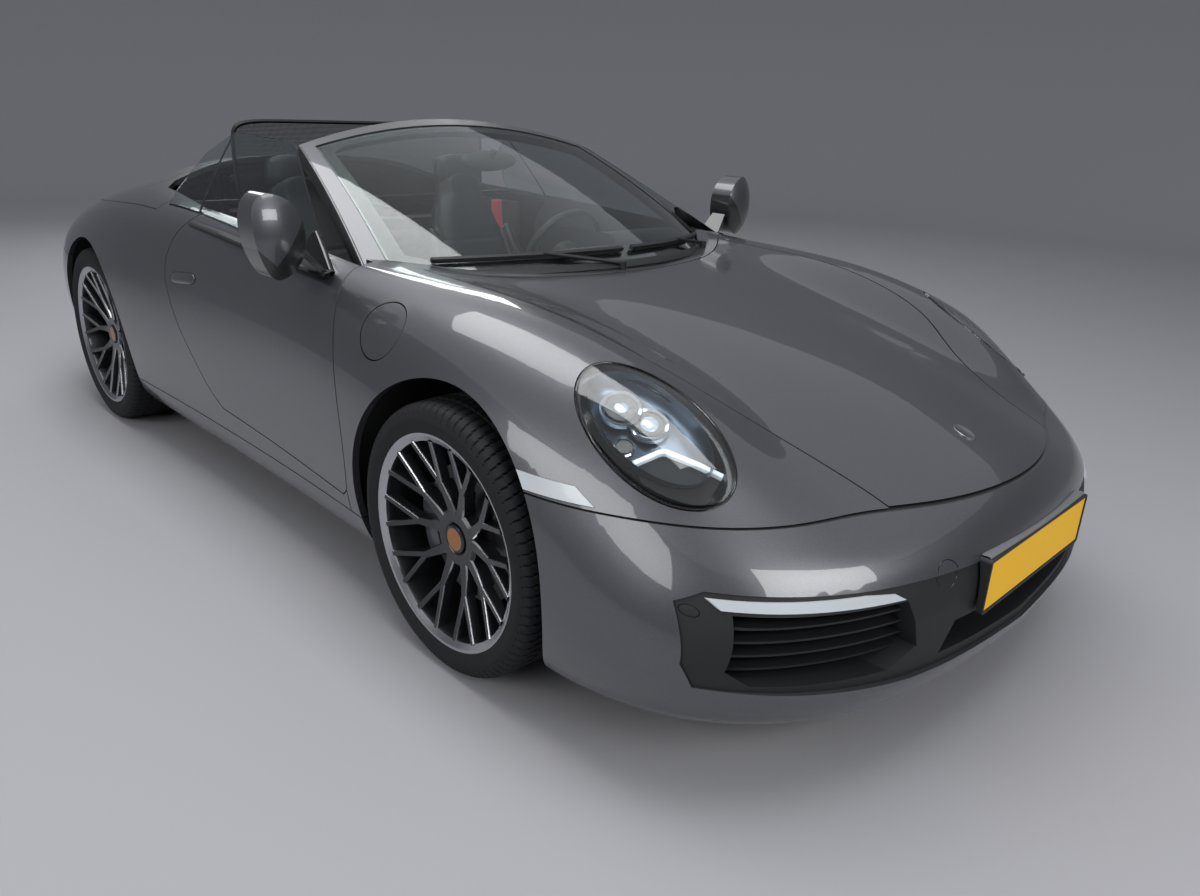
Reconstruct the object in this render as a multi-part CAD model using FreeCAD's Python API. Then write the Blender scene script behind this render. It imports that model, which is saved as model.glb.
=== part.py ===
import FreeCAD, Part
import math
import os

V = FreeCAD.Vector

# Overall sizes in millimetres. X runs forward, Y to the car's left, Z up, and the ground is Z = 0.
WHEELBASE = 2450.0
FRONT_AXLE_X = 1254.4
REAR_AXLE_X = FRONT_AXLE_X - WHEELBASE
BODY_WIDTH = 1852.0
SKIN = 20.0
SHUT_GAP = 4.0
LENS_THICKNESS = 5.0
GRILLE_DEPTH = 55.0

# Wheels and tyres
FRONT_TRACK = 1589.0
REAR_TRACK = 1530.0
FRONT_TYRE_RADIUS = 339.5
FRONT_TYRE_WIDTH = 245.0
FRONT_RIM_RADIUS = 254.0
REAR_TYRE_RADIUS = 358.0
REAR_TYRE_WIDTH = 285.0
REAR_RIM_RADIUS = 266.7
RIM_FLANGE = 15.0
SPOKE_PAIRS = 5
BRAKE_DISC_RADIUS = 175.0
BRAKE_DISC_THICKNESS = 34.0
SPINDLE_RADIUS = 30.0
RUNNING_GAP = 0.3
HINGE_GAP = 0.6

# Wheel arches
FRONT_ARCH_RADIUS = 392.0
REAR_ARCH_RADIUS = 400.0
LINER_RADIUS = 426.0
LINER_THICKNESS = 6.0

# Steering
KINGPIN_BOTTOM_Y = 715.0
KINGPIN_BOTTOM_Z = 190.0
KINGPIN_TOP_Y = 590.0
KINGPIN_TOP_Z = 790.0

# Cabin
FLOOR_BOTTOM = 125.0
FLOOR_THICKNESS = 30.0
DOOR_STEP = 18.0
SPLINE_POINTS = 14
CABIN_HALF_WIDTH = 742.0
SEAT_Y = 365.0

# Body surface: a net of control points on sections from the nose to the tail. Each section lists
# the right-hand half from the top centre line over the wing and the flank to the bottom centre line.
NET_FRONT_AXLE_X = 1255.0
NET_REAR_AXLE_X = -1195.0
NET_WIDTH = 1852.0


def section(x, points):
    return [(x, y, z) for y, z in points]


BODY_NET = [
    [(2262, 0, 310), (2255, 250, 310), (2225, 450, 310), (2185, 580, 310), (2140, 670, 310),
     (2090, 730, 310), (2060, 755, 310), (2090, 730, 310), (2140, 670, 310), (2185, 580, 310),
     (2225, 450, 310), (2255, 250, 310), (2262, 0, 310)],
    [(2275, 0, 400), (2262, 260, 400), (2220, 470, 398), (2165, 620, 392), (2095, 740, 378),
     (2010, 820, 350), (1975, 845, 320), (2000, 825, 285), (2085, 745, 245), (2165, 610, 225),
     (2225, 460, 215), (2262, 250, 215), (2272, 0, 215)],
    [(2272, 0, 500), (2252, 265, 495), (2200, 480, 485), (2125, 640, 475), (2035, 765, 455),
     (1930, 855, 410), (1880, 890, 345), (1900, 880, 260), (1990, 805, 190), (2090, 650, 160),
     (2160, 470, 150), (2195, 250, 145), (2205, 0, 145)],
    [(2225, 0, 585), (2195, 270, 575), (2130, 480, 550), (2055, 640, 550), (1955, 780, 530),
     (1845, 880, 460), (1790, 915, 360), (1800, 905, 260), (1840, 860, 170), (1870, 765, 140),
     (1880, 560, 135), (1880, 300, 130), (1880, 0, 130)],
    [(2090, 0, 635), (2060, 270, 620), (2000, 470, 595), (1945, 610, 640), (1865, 755, 645),
     (1760, 885, 530), (1700, 930, 400), (1700, 925, 280), (1700, 895, 170), (1700, 800, 125),
     (1700, 580, 125), (1700, 300, 125), (1700, 0, 125)],
    [(1890, 0, 710), (1860, 265, 700), (1820, 440, 672), (1790, 560, 745), (1730, 730, 785),
     (1660, 890, 635), (1620, 938, 450), (1600, 932, 300), (1600, 902, 170), (1600, 810, 125),
     (1600, 590, 125), (1600, 300, 125), (1600, 0, 125)],
    [(1650, 0, 772), (1630, 260, 765), (1610, 425, 738), (1590, 545, 800), (1560, 715, 845),
     (1530, 882, 720), (1500, 936, 545), (1480, 936, 350), (1480, 905, 180), (1480, 810, 125),
     (1480, 590, 125), (1480, 300, 125), (1480, 0, 125)],
    section(1330, [(0, 832), (260, 826), (430, 800), (545, 850), (700, 892), (865, 785), (930, 610),
                   (935, 400), (905, 190), (815, 125), (590, 125), (300, 125), (0, 125)]),
    section(1080, [(0, 864), (270, 861), (450, 846), (560, 872), (705, 902), (850, 815), (922, 650),
                   (930, 420), (900, 190), (815, 125), (590, 125), (300, 125), (0, 125)]),
    section(800, [(0, 888), (280, 887), (480, 882), (600, 884), (725, 898), (838, 850), (908, 690),
                  (915, 440), (885, 190), (810, 125), (590, 125), (300, 125), (0, 125)]),
    section(400, [(0, 925), (280, 925), (480, 922), (620, 920), (750, 918), (838, 870), (890, 700),
                  (900, 450), (878, 200), (810, 125), (590, 125), (300, 125), (0, 125)]),
    section(0, [(0, 960), (280, 960), (480, 958), (620, 950), (760, 940), (838, 885), (890, 700),
                (900, 450), (878, 200), (810, 125), (590, 125), (300, 125), (0, 125)]),
    section(-400, [(0, 990), (280, 990), (480, 985), (620, 970), (755, 955), (845, 895), (902, 720),
                   (910, 460), (880, 200), (810, 125), (590, 125), (300, 125), (0, 125)]),
    section(-800, [(0, 1075), (260, 1070), (450, 1052), (600, 1000), (740, 958), (855, 890), (930, 735),
                   (935, 480), (895, 200), (810, 125), (590, 125), (300, 125), (0, 125)]),
    section(-1150, [(0, 1088), (250, 1080), (430, 1056), (580, 990), (730, 942), (865, 865), (938, 715),
                    (942, 490), (905, 220), (810, 140), (590, 140), (300, 140), (0, 140)]),
    section(-1450, [(0, 1030), (250, 1020), (420, 990), (570, 940), (710, 907), (850, 825), (920, 690),
                    (925, 490), (890, 260), (810, 165), (590, 160), (300, 160), (0, 160)]),
    section(-1720, [(0, 945), (250, 935), (410, 910), (540, 885), (670, 855), (800, 780), (870, 650),
                    (880, 490), (860, 300), (790, 200), (590, 180), (300, 180), (0, 180)]),
    [(-1960, 0, 885), (-1955, 250, 878), (-1945, 400, 862), (-1930, 525, 838), (-1910, 645, 805),
     (-1890, 760, 735), (-1880, 825, 620), (-1880, 838, 480), (-1890, 820, 330), (-1910, 740, 220),
     (-1930, 560, 190), (-1940, 300, 190), (-1940, 0, 190)],
    [(-2130, 0, 830), (-2120, 250, 825), (-2095, 390, 812), (-2065, 505, 795), (-2030, 610, 762),
     (-2000, 705, 695), (-1985, 765, 590), (-1985, 785, 480), (-2000, 765, 360), (-2030, 690, 260),
     (-2070, 530, 210), (-2095, 290, 200), (-2100, 0, 200)],
    [(-2220, 0, 730), (-2210, 250, 728), (-2185, 390, 720), (-2150, 500, 708), (-2110, 600, 688),
     (-2080, 690, 640), (-2065, 730, 560), (-2065, 740, 480), (-2085, 720, 390), (-2120, 640, 310),
     (-2170, 500, 260), (-2200, 280, 245), (-2210, 0, 245)],
    [(-2268, 0, 560), (-2258, 250, 560), (-2230, 390, 558), (-2190, 505, 552), (-2150, 600, 545),
     (-2125, 660, 530), (-2115, 680, 500), (-2125, 660, 460), (-2150, 600, 420), (-2190, 505, 380),
     (-2230, 390, 350), (-2258, 250, 340), (-2268, 0, 340)],
    [(-2270, 0, 430), (-2260, 250, 430), (-2235, 390, 430), (-2195, 505, 430), (-2160, 585, 430),
     (-2140, 625, 430), (-2130, 640, 430), (-2140, 625, 430), (-2160, 585, 430), (-2195, 505, 430),
     (-2235, 390, 430), (-2260, 250, 430), (-2270, 0, 430)],
]


def station(x):
    """The net's stations keep their distance to the nearer axle, and the middle stretches."""
    if x >= NET_FRONT_AXLE_X:
        return x - NET_FRONT_AXLE_X + FRONT_AXLE_X
    if x <= NET_REAR_AXLE_X:
        return x - NET_REAR_AXLE_X + REAR_AXLE_X
    share = (x - NET_REAR_AXLE_X) / (NET_FRONT_AXLE_X - NET_REAR_AXLE_X)
    return REAR_AXLE_X + share * WHEELBASE


def control_rows():
    """One closed loop of control points for each section, from the bottom over the top."""
    rows = []
    for half in BODY_NET:
        right = [V(station(x), -y * BODY_WIDTH / NET_WIDTH, z) for x, y, z in half]
        left = [V(p.x, -p.y, p.z) for p in right]
        rows.append(list(reversed(right)) + left[1:])
    return rows


def clamped_knots(count):
    spans = count - 3
    return [i / spans for i in range(spans + 1)], [4] + [1] * (spans - 1) + [4]


def greville(count):
    """The surface parameter at which each control point pulls hardest."""
    spans = count - 3
    knots = [0.0] * 3 + [i / spans for i in range(spans + 1)] + [1.0] * 3
    return [(knots[i + 1] + knots[i + 2] + knots[i + 3]) / 3 for i in range(count)]


def skin_surface(rows):
    surface = Part.BSplineSurface()
    u_knots, u_mults = clamped_knots(len(rows))
    v_knots, v_mults = clamped_knots(len(rows[0]))
    surface.buildFromPolesMultsKnots(rows, u_mults, v_mults, u_knots, v_knots, False, False, 3, 3)
    return surface


def inset_rows(rows, depth):
    """Control points moved inwards along the surface normal."""
    surface = skin_surface(rows)
    along = greville(len(rows))
    around = greville(len(rows[0]))
    moved = []
    for u, row in zip(along, rows):
        u_safe = min(max(u, 0.004), 0.996)
        points = [p + surface.normal(u_safe, min(max(v, 1e-4), 1 - 1e-4)) * depth
                  for p, v in zip(row, around)]
        seam = V(points[0].x, 0, points[0].z)
        moved.append([seam] + points[1:-1] + [seam])
    return moved


def body_solid(rows, trim):
    """A closed solid: four strips of the body surface and two ruled faces at each end."""
    surface = skin_surface(rows)
    around = greville(len(rows[0]))
    cuts = [0.0, around[6], 0.5, around[len(rows[0]) - 7], 1.0]
    faces = []
    for low, high in zip(cuts, cuts[1:]):
        strip = surface.copy()
        strip.segment(trim, 1 - trim, low, high)
        faces.append(strip.toShape())
    for u in (trim, 1 - trim):
        edges = [surface.uIso(u).toShape(low, high) for low, high in zip(cuts, cuts[1:])]
        faces.append(Part.makeRuledSurface(edges[0], edges[1]))
        faces.append(Part.makeRuledSurface(edges[3], edges[2]))
    shell = Part.makeShell(faces)
    shell.sewShape()
    solid = Part.Solid(shell)
    if solid.Volume < 0:
        solid.reverse()
    return solid


def box(x0, x1, y0, y1, z0, z1):
    return Part.makeBox(x1 - x0, y1 - y0, z1 - z0, V(x0, y0, z0))


def mirrored(shape):
    return shape.mirror(V(0, 0, 0), V(0, 1, 0))


def both_sides(shape):
    return Part.makeCompound(list(shape.Solids) + list(mirrored(shape).Solids))


def spline(points):
    curve = Part.BSplineCurve()
    curve.interpolate(points)
    return curve.toShape()


def arc(start, middle, end):
    return Part.Arc(start, middle, end).toShape()


def face_of(edges):
    return Part.Face(Part.Wire(Part.__sortEdges__(edges)))


def polygon(points):
    return Part.Face(Part.makePolygon(points + [points[0]]))


def grown(face, distance):
    """The flat face with its outline moved out by a distance; offset curves become plain splines."""
    edges = []
    for edge in face.makeOffset2D(distance).Edges:
        if type(edge.Curve).__name__ == "OffsetCurve":
            edge = spline(edge.discretize(SPLINE_POINTS))
        edges.append(edge)
    return face_of(edges)


def solids_where(shape, keep):
    return Part.makeCompound([s for s in shape.Solids if keep(s.CenterOfGravity)])


# Shut lines, seen from the side for the doors and from above for the lids
DOOR_FRONT_LINE = [(560, 1040), (679, 877), (728, 797), (756, 733), (793, 623), (819, 507), (821, 388),
                   (811, 330)]
DOOR_BOTTOM_LINE = [(785, 309), (387, 329), (0, 346)]
DOOR_REAR_LINE = [(-94, 397), (-180, 472), (-265, 555), (-340, 653), (-383, 754), (-372, 830),
                  (-308, 923), (-180, 1040)]

BONNET_SIDE_LINE = [(2107, 394), (1894, 432), (1777, 478), (1672, 535), (1500, 585), (1200, 615),
                    (800, 624)]
BONNET_FRONT_X = 2195.0
BONNET_REAR_X = 1025.0
BUMPER_TOP = 578.0

SCREEN_BASE_CORNER = (660.0, 660.0)
SCREEN_BASE_X = 945.0

CABIN_REAR_X = -1010.0
CABIN_REAR_CORNER = (-955.0, 610.0)
CABIN_REAR_SIDE = (-860.0, 675.0)

COVER_REAR_X = -1500.0
COVER_SIDE_LINE = [(-640, 800), (-832, 797), (-1200, 785), (-1450, 745)]

LID_HALF_WIDTH = 520.0
LID_TAPER = 10.0
LID_REAR_X = -1930.0


def door_outline():
    front = [V(station(x), 0, z) for x, z in DOOR_FRONT_LINE]
    bottom = [V(station(x), 0, z) for x, z in DOOR_BOTTOM_LINE]
    rear = [V(station(x), 0, z) for x, z in DOOR_REAR_LINE]
    return face_of([spline(front), Part.makeLine(front[-1], bottom[0]), Part.makeLine(bottom[0], bottom[1]),
                    Part.makeLine(bottom[1], bottom[2]), spline([bottom[2]] + rear),
                    Part.makeLine(rear[-1], front[0])])


def side_prism(face, y0, y1):
    moved = face.copy()
    moved.translate(V(0, y0, 0))
    return moved.extrude(V(0, y1 - y0, 0))


def plan_prism(face, z0, z1):
    moved = face.copy()
    moved.translate(V(0, 0, z0))
    return moved.extrude(V(0, 0, z1 - z0))


def bonnet_outline():
    right = [V(station(x), -y, 0) for x, y in BONNET_SIDE_LINE]
    left = [V(p.x, -p.y, 0) for p in right]
    return face_of([spline(right), spline(left),
                    arc(right[0], V(station(BONNET_FRONT_X), 0, 0), left[0]),
                    arc(right[-1], V(station(BONNET_REAR_X), 0, 0), left[-1])])


def screen_base_outline():
    """From the bonnet's rear edge back to the foot of the windscreen."""
    x, y = SCREEN_BASE_CORNER
    bonnet_x, bonnet_y = BONNET_SIDE_LINE[-1]
    corner = [V(station(bonnet_x), -bonnet_y, 0), V(station(bonnet_x), bonnet_y, 0)]
    foot = [V(station(x), -y, 0), V(station(x), y, 0)]
    return face_of([arc(corner[0], V(station(BONNET_REAR_X), 0, 0), corner[1]),
                    Part.makeLine(corner[1], foot[1]),
                    arc(foot[1], V(station(SCREEN_BASE_X), 0, 0), foot[0]),
                    Part.makeLine(foot[0], corner[0])])


def cabin_outline():
    front_x, front_y = SCREEN_BASE_CORNER
    half = [V(station(front_x), front_y, 0), V(station(front_x - 60), CABIN_HALF_WIDTH, 0),
            V(station(-330), CABIN_HALF_WIDTH, 0), V(station(CABIN_REAR_SIDE[0]), CABIN_REAR_SIDE[1], 0),
            V(station(CABIN_REAR_CORNER[0]), CABIN_REAR_CORNER[1], 0)]
    other = [V(p.x, -p.y, 0) for p in half]
    edges = [arc(half[0], V(station(SCREEN_BASE_X), 0, 0), other[0]),
             arc(half[4], V(station(CABIN_REAR_X), 0, 0), other[4])]
    for side in (half, other):
        edges += [Part.makeLine(a, b) for a, b in zip(side, side[1:])]
    return face_of(edges)


def cover_outline():
    """The folding top's cover: full width, from the cabin's rear edge to the engine lid."""
    side = [V(station(x), y, 0) for x, y in COVER_SIDE_LINE]
    other = [V(p.x, -p.y, 0) for p in side]
    return face_of([spline(side), spline(other), Part.makeLine(side[0], other[0]),
                    arc(side[-1], V(station(COVER_REAR_X), 0, 0), other[-1])])


def lid_outline():
    front = [V(station(COVER_REAR_X + 14), -LID_HALF_WIDTH, 0), V(station(COVER_REAR_X + 14), LID_HALF_WIDTH, 0)]
    rear_half = LID_HALF_WIDTH - LID_TAPER
    rear = [V(station(LID_REAR_X), -rear_half, 0), V(station(LID_REAR_X), rear_half, 0)]
    return face_of([arc(front[0], V(station(COVER_REAR_X), 0, 0), front[1]),
                    Part.makeLine(front[1], rear[1]),
                    arc(rear[1], V(station(LID_REAR_X - 30), 0, 0), rear[0]),
                    Part.makeLine(rear[0], front[0])])


def wheel_cylinder(axle_x, axle_z, radius, y0, y1):
    return Part.makeCylinder(radius, y1 - y0, V(axle_x, y0, axle_z), V(0, 1, 0))


# Headlamps: an oval on the wing, in a plane that leans forwards and outwards
LAMP_CENTRE = V(station(1733), -716, 712)
LAMP_LONG_HALF = 206.0
LAMP_SHORT_HALF = 119.0
LAMP_LONG_DIRECTION = V(0.884, 0.061, -0.466)
LAMP_NORMAL = V(0.449, -0.339, 0.827)
LAMP_DEPTH = 150.0


def lamp_prism(margin, front, back):
    """An oval prism about the lamp's own axis, from front outside the wing to back inside it."""
    normal = V(LAMP_NORMAL)
    normal.normalize()
    across = normal.cross(LAMP_LONG_DIRECTION)
    across.normalize()
    along = across.cross(normal)
    start = LAMP_CENTRE + normal * front
    ellipse = Part.Ellipse(start + along * (LAMP_LONG_HALF + margin),
                           start + across * (LAMP_SHORT_HALF + margin), start)
    return Part.Face(Part.Wire(ellipse.toShape())).extrude(normal * (back - front))


FLAP_CENTRE = V(station(952), -855, 789)
FLAP_NORMAL = V(0.12, -0.83, 0.54)
FLAP_RADIUS = 78.0
FLAP_DRAFT = 0.15


def flap_prism(radius):
    normal = V(FLAP_NORMAL)
    normal.normalize()
    return Part.makeCylinder(radius, 130, FLAP_CENTRE - normal * 60, normal)


def flap_plug():
    """The flap's own shape: its edge draws in with depth, so that it swings clear of the opening."""
    normal = V(FLAP_NORMAL)
    normal.normalize()
    depth = 60
    return Part.makeCone(FLAP_RADIUS - FLAP_DRAFT * depth, FLAP_RADIUS + FLAP_DRAFT * depth, 2 * depth,
                         FLAP_CENTRE - normal * depth, normal)


# The bumper's openings, seen from the front
INTAKE_TOP = 474.0
INTAKE_OUTLINE = [(0, 474), (560, 474), (800, 478), (838, 455), (850, 340), (835, 292), (700, 283),
                  (440, 262), (0, 250)]
SIDE_WINDOW = [(470, 440), (775, 440), (795, 330), (760, 300), (500, 292), (430, 330)]
CENTRE_WINDOW = [(-320, 355), (320, 355), (350, 285), (0, 274), (-350, 285)]
STRIP_OUTLINE = [(480, 447), (790, 449), (800, 466), (560, 466), (500, 460)]
LOUVRE_LEVELS = (318.0, 348.0, 378.0, 408.0)
LOUVRE_THICKNESS = 5.0
INDICATOR_OUTLINE = [(1505, 617), (1672, 616), (1722, 586), (1545, 584)]


def front_prism(points, x0, x1):
    half = [V(x0, y, z) for y, z in points]
    other = [V(x0, -y, z) for y, z in reversed(points) if y > 0]
    return polygon(half + other).extrude(V(x1 - x0, 0, 0))


rows = control_rows()
outer = body_solid(rows, 0.012)
inner = body_solid(inset_rows(rows, SKIN), 0.04)
lens_inner = body_solid(inset_rows(rows, LENS_THICKNESS), 0.02)
shell = outer.cut(inner)
deep_inner = body_solid(inset_rows(rows, SKIN + 6), 0.06)
grille_inner = body_solid(inset_rows(rows, GRILLE_DEPTH), 0.06)
outset = body_solid(inset_rows(rows, -RUNNING_GAP), 0.012)
parts = {}
ABOVE = 1400.0


def top_level(x, y):
    """Height of the body's upper surface at a place in plan."""
    probe = Part.makeLine(V(x, y, 500), V(x, y, 1300)).common(outer)
    return probe.BoundBox.ZMax


def hinge_ring(centre, axis, start, radius, sweep, width, thickness):
    """A bar bent round a hinge's axis: it runs from the start direction through the sweep angle."""
    direction = V(axis).normalize()
    radial = (start - direction * start.dot(direction)).normalize()
    near = centre + radial * (radius - thickness / 2) - direction * (width / 2)
    far = centre + radial * (radius + thickness / 2) - direction * (width / 2)
    face = polygon([near, far, far + direction * width, near + direction * width])
    if sweep >= 360:
        return face.revolve(centre, direction, 360)
    return face.revolve(centre, direction, sweep)


def take(name, cutter, keep_cutter):
    """Move what lies in the cutter from the body shell to its own part, with a gap around it."""
    global shell
    parts[name] = shell.common(cutter)
    shell = shell.cut(keep_cutter)


# Openings in the body shell: the floor, the cabin and the wheel arches
shell = shell.cut(box(station(-1700), station(1800), -780, 780, 0, 180))
cabin_face = cabin_outline()
shell = shell.cut(plan_prism(cabin_face, 300, ABOVE))
for axle_x, axle_z, radius in ((FRONT_AXLE_X, FRONT_TYRE_RADIUS, FRONT_ARCH_RADIUS),
                               (REAR_AXLE_X, REAR_TYRE_RADIUS, REAR_ARCH_RADIUS)):
    shell = shell.cut(both_sides(wheel_cylinder(axle_x, axle_z, radius, 600, 1000)))

# Lids and doors
bonnet_face = bonnet_outline()
take("bonnet", plan_prism(bonnet_face, BUMPER_TOP + SHUT_GAP, ABOVE),
     plan_prism(grown(bonnet_face, SHUT_GAP), BUMPER_TOP, ABOVE))
foot_face = screen_base_outline()
take("cowl", plan_prism(foot_face, 780, ABOVE), plan_prism(grown(foot_face, 1), 780, ABOVE))
rim_zone = plan_prism(grown(cabin_face, 40), 800, ABOVE).common(box(station(-1200), station(-320), -900, 900, 800, ABOVE))
take("deck_rim", rim_zone, rim_zone)
cover_face = cover_outline()
take("top_cover", plan_prism(cover_face, 700, ABOVE), plan_prism(grown(cover_face, SHUT_GAP), 700, ABOVE))
lid_face = lid_outline()
take("engine_lid", plan_prism(lid_face, 600, ABOVE), plan_prism(grown(lid_face, SHUT_GAP), 600, ABOVE))
door_face = door_outline()
door_panel = outer.cut(inner).common(side_prism(door_face, -1000, -CABIN_HALF_WIDTH))
door_frame = inner.common(side_prism(grown(door_face, -DOOR_STEP), -1000, -CABIN_HALF_WIDTH))
parts["door_right"] = door_panel.fuse(door_frame)
door_room = both_sides(side_prism(grown(door_face, SHUT_GAP), -1100, -700))
shell = shell.cut(door_room)
parts["deck_rim"] = parts["deck_rim"].cut(door_room)
take("filler_flap", flap_plug(), flap_prism(FLAP_RADIUS + SHUT_GAP / 2))

# Lamps and indicators let into the wings
parts["headlamp_lenses"] = both_sides(outer.cut(lens_inner).common(lamp_prism(-3, 120, -60)))
shell = shell.cut(both_sides(lamp_prism(0, 120, -60)))
indicator = polygon([V(station(x), 0, z) for x, z in INDICATOR_OUTLINE])
take("marker_lamps", both_sides(side_prism(indicator, -1000, -800)),
     both_sides(side_prism(grown(indicator, 1), -1000, -800)))

# Bumpers, sills and the light bar across the tail
nose = box(station(1400), station(2400), -1000, 1000, 0, BUMPER_TOP - SHUT_GAP / 2)
take("front_bumper", nose, box(station(1400), station(2400), -1000, 1000, 0, BUMPER_TOP + SHUT_GAP / 2))
intake = front_prism(INTAKE_OUTLINE, station(1850), station(2400))
parts["front_bumper"] = parts["front_bumper"].cut(intake)


def front_window(points):
    """A prism along X through the nose, for one outline and its mirror image."""
    right = polygon([V(station(1850), -y, z) for y, z in points]).extrude(V(550, 0, 0))
    return right, mirrored(right)


def grown_window(points, margin):
    face = polygon([V(station(1850), -y, z) for y, z in points])
    right = grown(face, margin).extrude(V(550, 0, 0))
    return right, mirrored(right)


intake_face = polygon([V(0, y, z) for y, z in INTAKE_OUTLINE] +
                      [V(0, -y, z) for y, z in reversed(INTAKE_OUTLINE) if y > 0])
intake_fit = grown(intake_face, -RUNNING_GAP)
intake_fit.translate(V(station(1850), 0, 0))
surround = lens_inner.cut(deep_inner).common(intake_fit.extrude(V(550, 0, 0)))
for window in (SIDE_WINDOW, CENTRE_WINDOW):
    for piece in front_window(window):
        surround = surround.cut(piece)
slats = []
for level in LOUVRE_LEVELS:
    band = inner.cut(grille_inner).common(box(station(1850), station(2400), -900, 900, level, level + LOUVRE_THICKNESS))
    for piece in grown_window(SIDE_WINDOW, 8):
        slats += band.common(piece).Solids
for level in LOUVRE_LEVELS[:2]:
    band = inner.cut(grille_inner).common(box(station(1850), station(2400), -900, 900, level, level + LOUVRE_THICKNESS))
    slats += band.common(grown_window(CENTRE_WINDOW, 8)[0]).Solids
parts["intake_grilles"] = surround.fuse(slats)
strips = []
for piece in front_window(STRIP_OUTLINE):
    strips += [strip.translated(V(2 * RUNNING_GAP, 0, 0)) for strip in outer.cut(lens_inner).common(piece).Solids]
SILL_TOP = 262.0
take("sills", box(station(-1000), station(1100), -1000, 1000, 0, SILL_TOP),
     box(station(-1000), station(1100), -1000, 1000, 0, SILL_TOP + SHUT_GAP))
REAR_BUMPER_TOP = 655.0
take("rear_bumper", box(station(-2400), station(-1400), -1000, 1000, 0, REAR_BUMPER_TOP),
     box(station(-2400), station(-1400), -1000, 1000, 0, REAR_BUMPER_TOP + SHUT_GAP))
LIGHT_BAR = (700.0, 744.0)
take("tail_lamp", box(station(-2400), station(-1700), -1000, 1000, *LIGHT_BAR),
     box(station(-2400), station(-1700), -1000, 1000, LIGHT_BAR[0] - 1, LIGHT_BAR[1] + 1))
seam = box(station(811), station(811) + SHUT_GAP, 600, 1000, 200, 345)
shell = shell.cut(both_sides(seam))
parts["front_wings"] = solids_where(shell, lambda c: c.x > 700)
parts["rear_quarters"] = solids_where(shell, lambda c: c.x <= 700)

# Windscreen: a curved slab between an arc at its foot and an arc at the header
SCREEN_FOOT = ((station(970), 0, 885), (station(698), 659, 867))
SCREEN_HEAD = ((station(95), 0, 1238), (station(118), 560, 1168))
SCREEN_CROWN = 16.0
SCREEN_NORMAL = V(0.40, 0, 0.917)


def screen_point(height, side):
    """A pole of the glass at a height from 0, foot, to 1, header, and a side from -1 to 1."""
    (fx, _, fz), (fcx, fy, fcz) = SCREEN_FOOT
    (hx, _, hz), (hcx, hy, hcz) = SCREEN_HEAD
    x = fx + (hx - fx) * height
    z = fz + (hz - fz) * height
    drop_x = (fcx - fx) + ((hcx - hx) - (fcx - fx)) * height
    drop_z = (fcz - fz) + ((hcz - hz) - (fcz - fz)) * height
    wide = fy + (hy - fy) * height
    crown = SCREEN_NORMAL * (SCREEN_CROWN * 4 * height * (1 - height))
    return V(x + drop_x * side ** 2, wide * side, z + drop_z * side ** 2) + crown


def quadratic_poles(samples):
    """Poles of the quadratic through samples at parameters 0, a half and 1."""
    first, middle, last = samples
    return [first, middle * 2 - (first + last) * 0.5, last]


def screen_slab(low, high, reach, top, bottom):
    """A slab that follows the glass, from top to bottom along the screen's normal."""
    heights = (low, (low + high) / 2, high)
    grid = [quadratic_poles([screen_point(h, side) for side in (-reach, 0.0, reach)]) for h in heights]
    columns = [quadratic_poles([row[i] for row in grid]) for i in range(3)]
    sheets = []
    for shift in (top, bottom):
        surface = Part.BSplineSurface()
        poles = [[columns[j][i] + SCREEN_NORMAL * shift for j in range(3)] for i in range(3)]
        surface.buildFromPolesMultsKnots(poles, [3, 3], [3, 3], [0, 1], [0, 1], False, False, 2, 2)
        sheets.append(surface)
    faces = [sheet.toShape() for sheet in sheets]
    for edge in ("uIso", "vIso"):
        for at in (0, 1):
            upper, lower = [getattr(sheet, edge)(at).toShape() for sheet in sheets]
            faces.append(Part.makeRuledSurface(upper, lower))
    shell_faces = Part.makeShell(faces)
    shell_faces.sewShape()
    solid = Part.Solid(shell_faces)
    if solid.Volume < 0:
        solid.reverse()
    return solid


GLASS = 5.0
frame_blank = screen_slab(-0.05, 1.06, 1.085, 3, -40)
opening = screen_slab(-0.2, 0.985, 0.985, 60, -120)
rebate = screen_slab(-0.2, 1.003, 1.003, 60, -GLASS - RUNNING_GAP)
parts["windscreen"] = screen_slab(0.0, 1.0, 1.0, 0, -GLASS)
under_screen = screen_slab(-0.02, 1.06, 1.1, 6, -80)
for name in ("cowl", "front_wings"):
    parts[name] = parts[name].cut(under_screen)
parts["windscreen_frame"] = frame_blank.cut(rebate).cut(opening)

# Side glass, leaning in towards the header
SIDE_GLASS_FOOT = (806.0, 880.0)
SIDE_GLASS_MIDDLE = (708.0, 1040.0)
SIDE_GLASS_HEAD = (588.0, 1200.0)
DOOR_GLASS_OUTLINE = [(640, 880), (112, 1160), (60, 1178), (-382, 1192), (-315, 942), (-282, 930), (-282, 880)]
QUARTER_GLASS_OUTLINE = [(-308, 895), (-388, 1190), (-500, 1122), (-585, 985), (-596, 895)]


def leaning_sheet(margin):
    """The side glass as one sheet along the car, thicker by a margin on both faces."""
    def points(shift):
        return [V(0, -y + shift, z) for y, z in (SIDE_GLASS_FOOT, SIDE_GLASS_MIDDLE, SIDE_GLASS_HEAD)]
    out = points(-margin)
    back = points(GLASS + margin)
    face = face_of([arc(*out), Part.makeLine(out[2], back[2]), arc(*back), Part.makeLine(back[0], out[0])])
    face.translate(V(station(-900), 0, 0))
    return face.extrude(V(1800, 0, 0))




def side_glass(outline, margin=0.0):
    face = polygon([V(station(x), 0, z) for x, z in outline])
    if margin > 0:
        face = grown(face, margin)
    return leaning_sheet(margin).common(side_prism(face, -900, -500))


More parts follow.
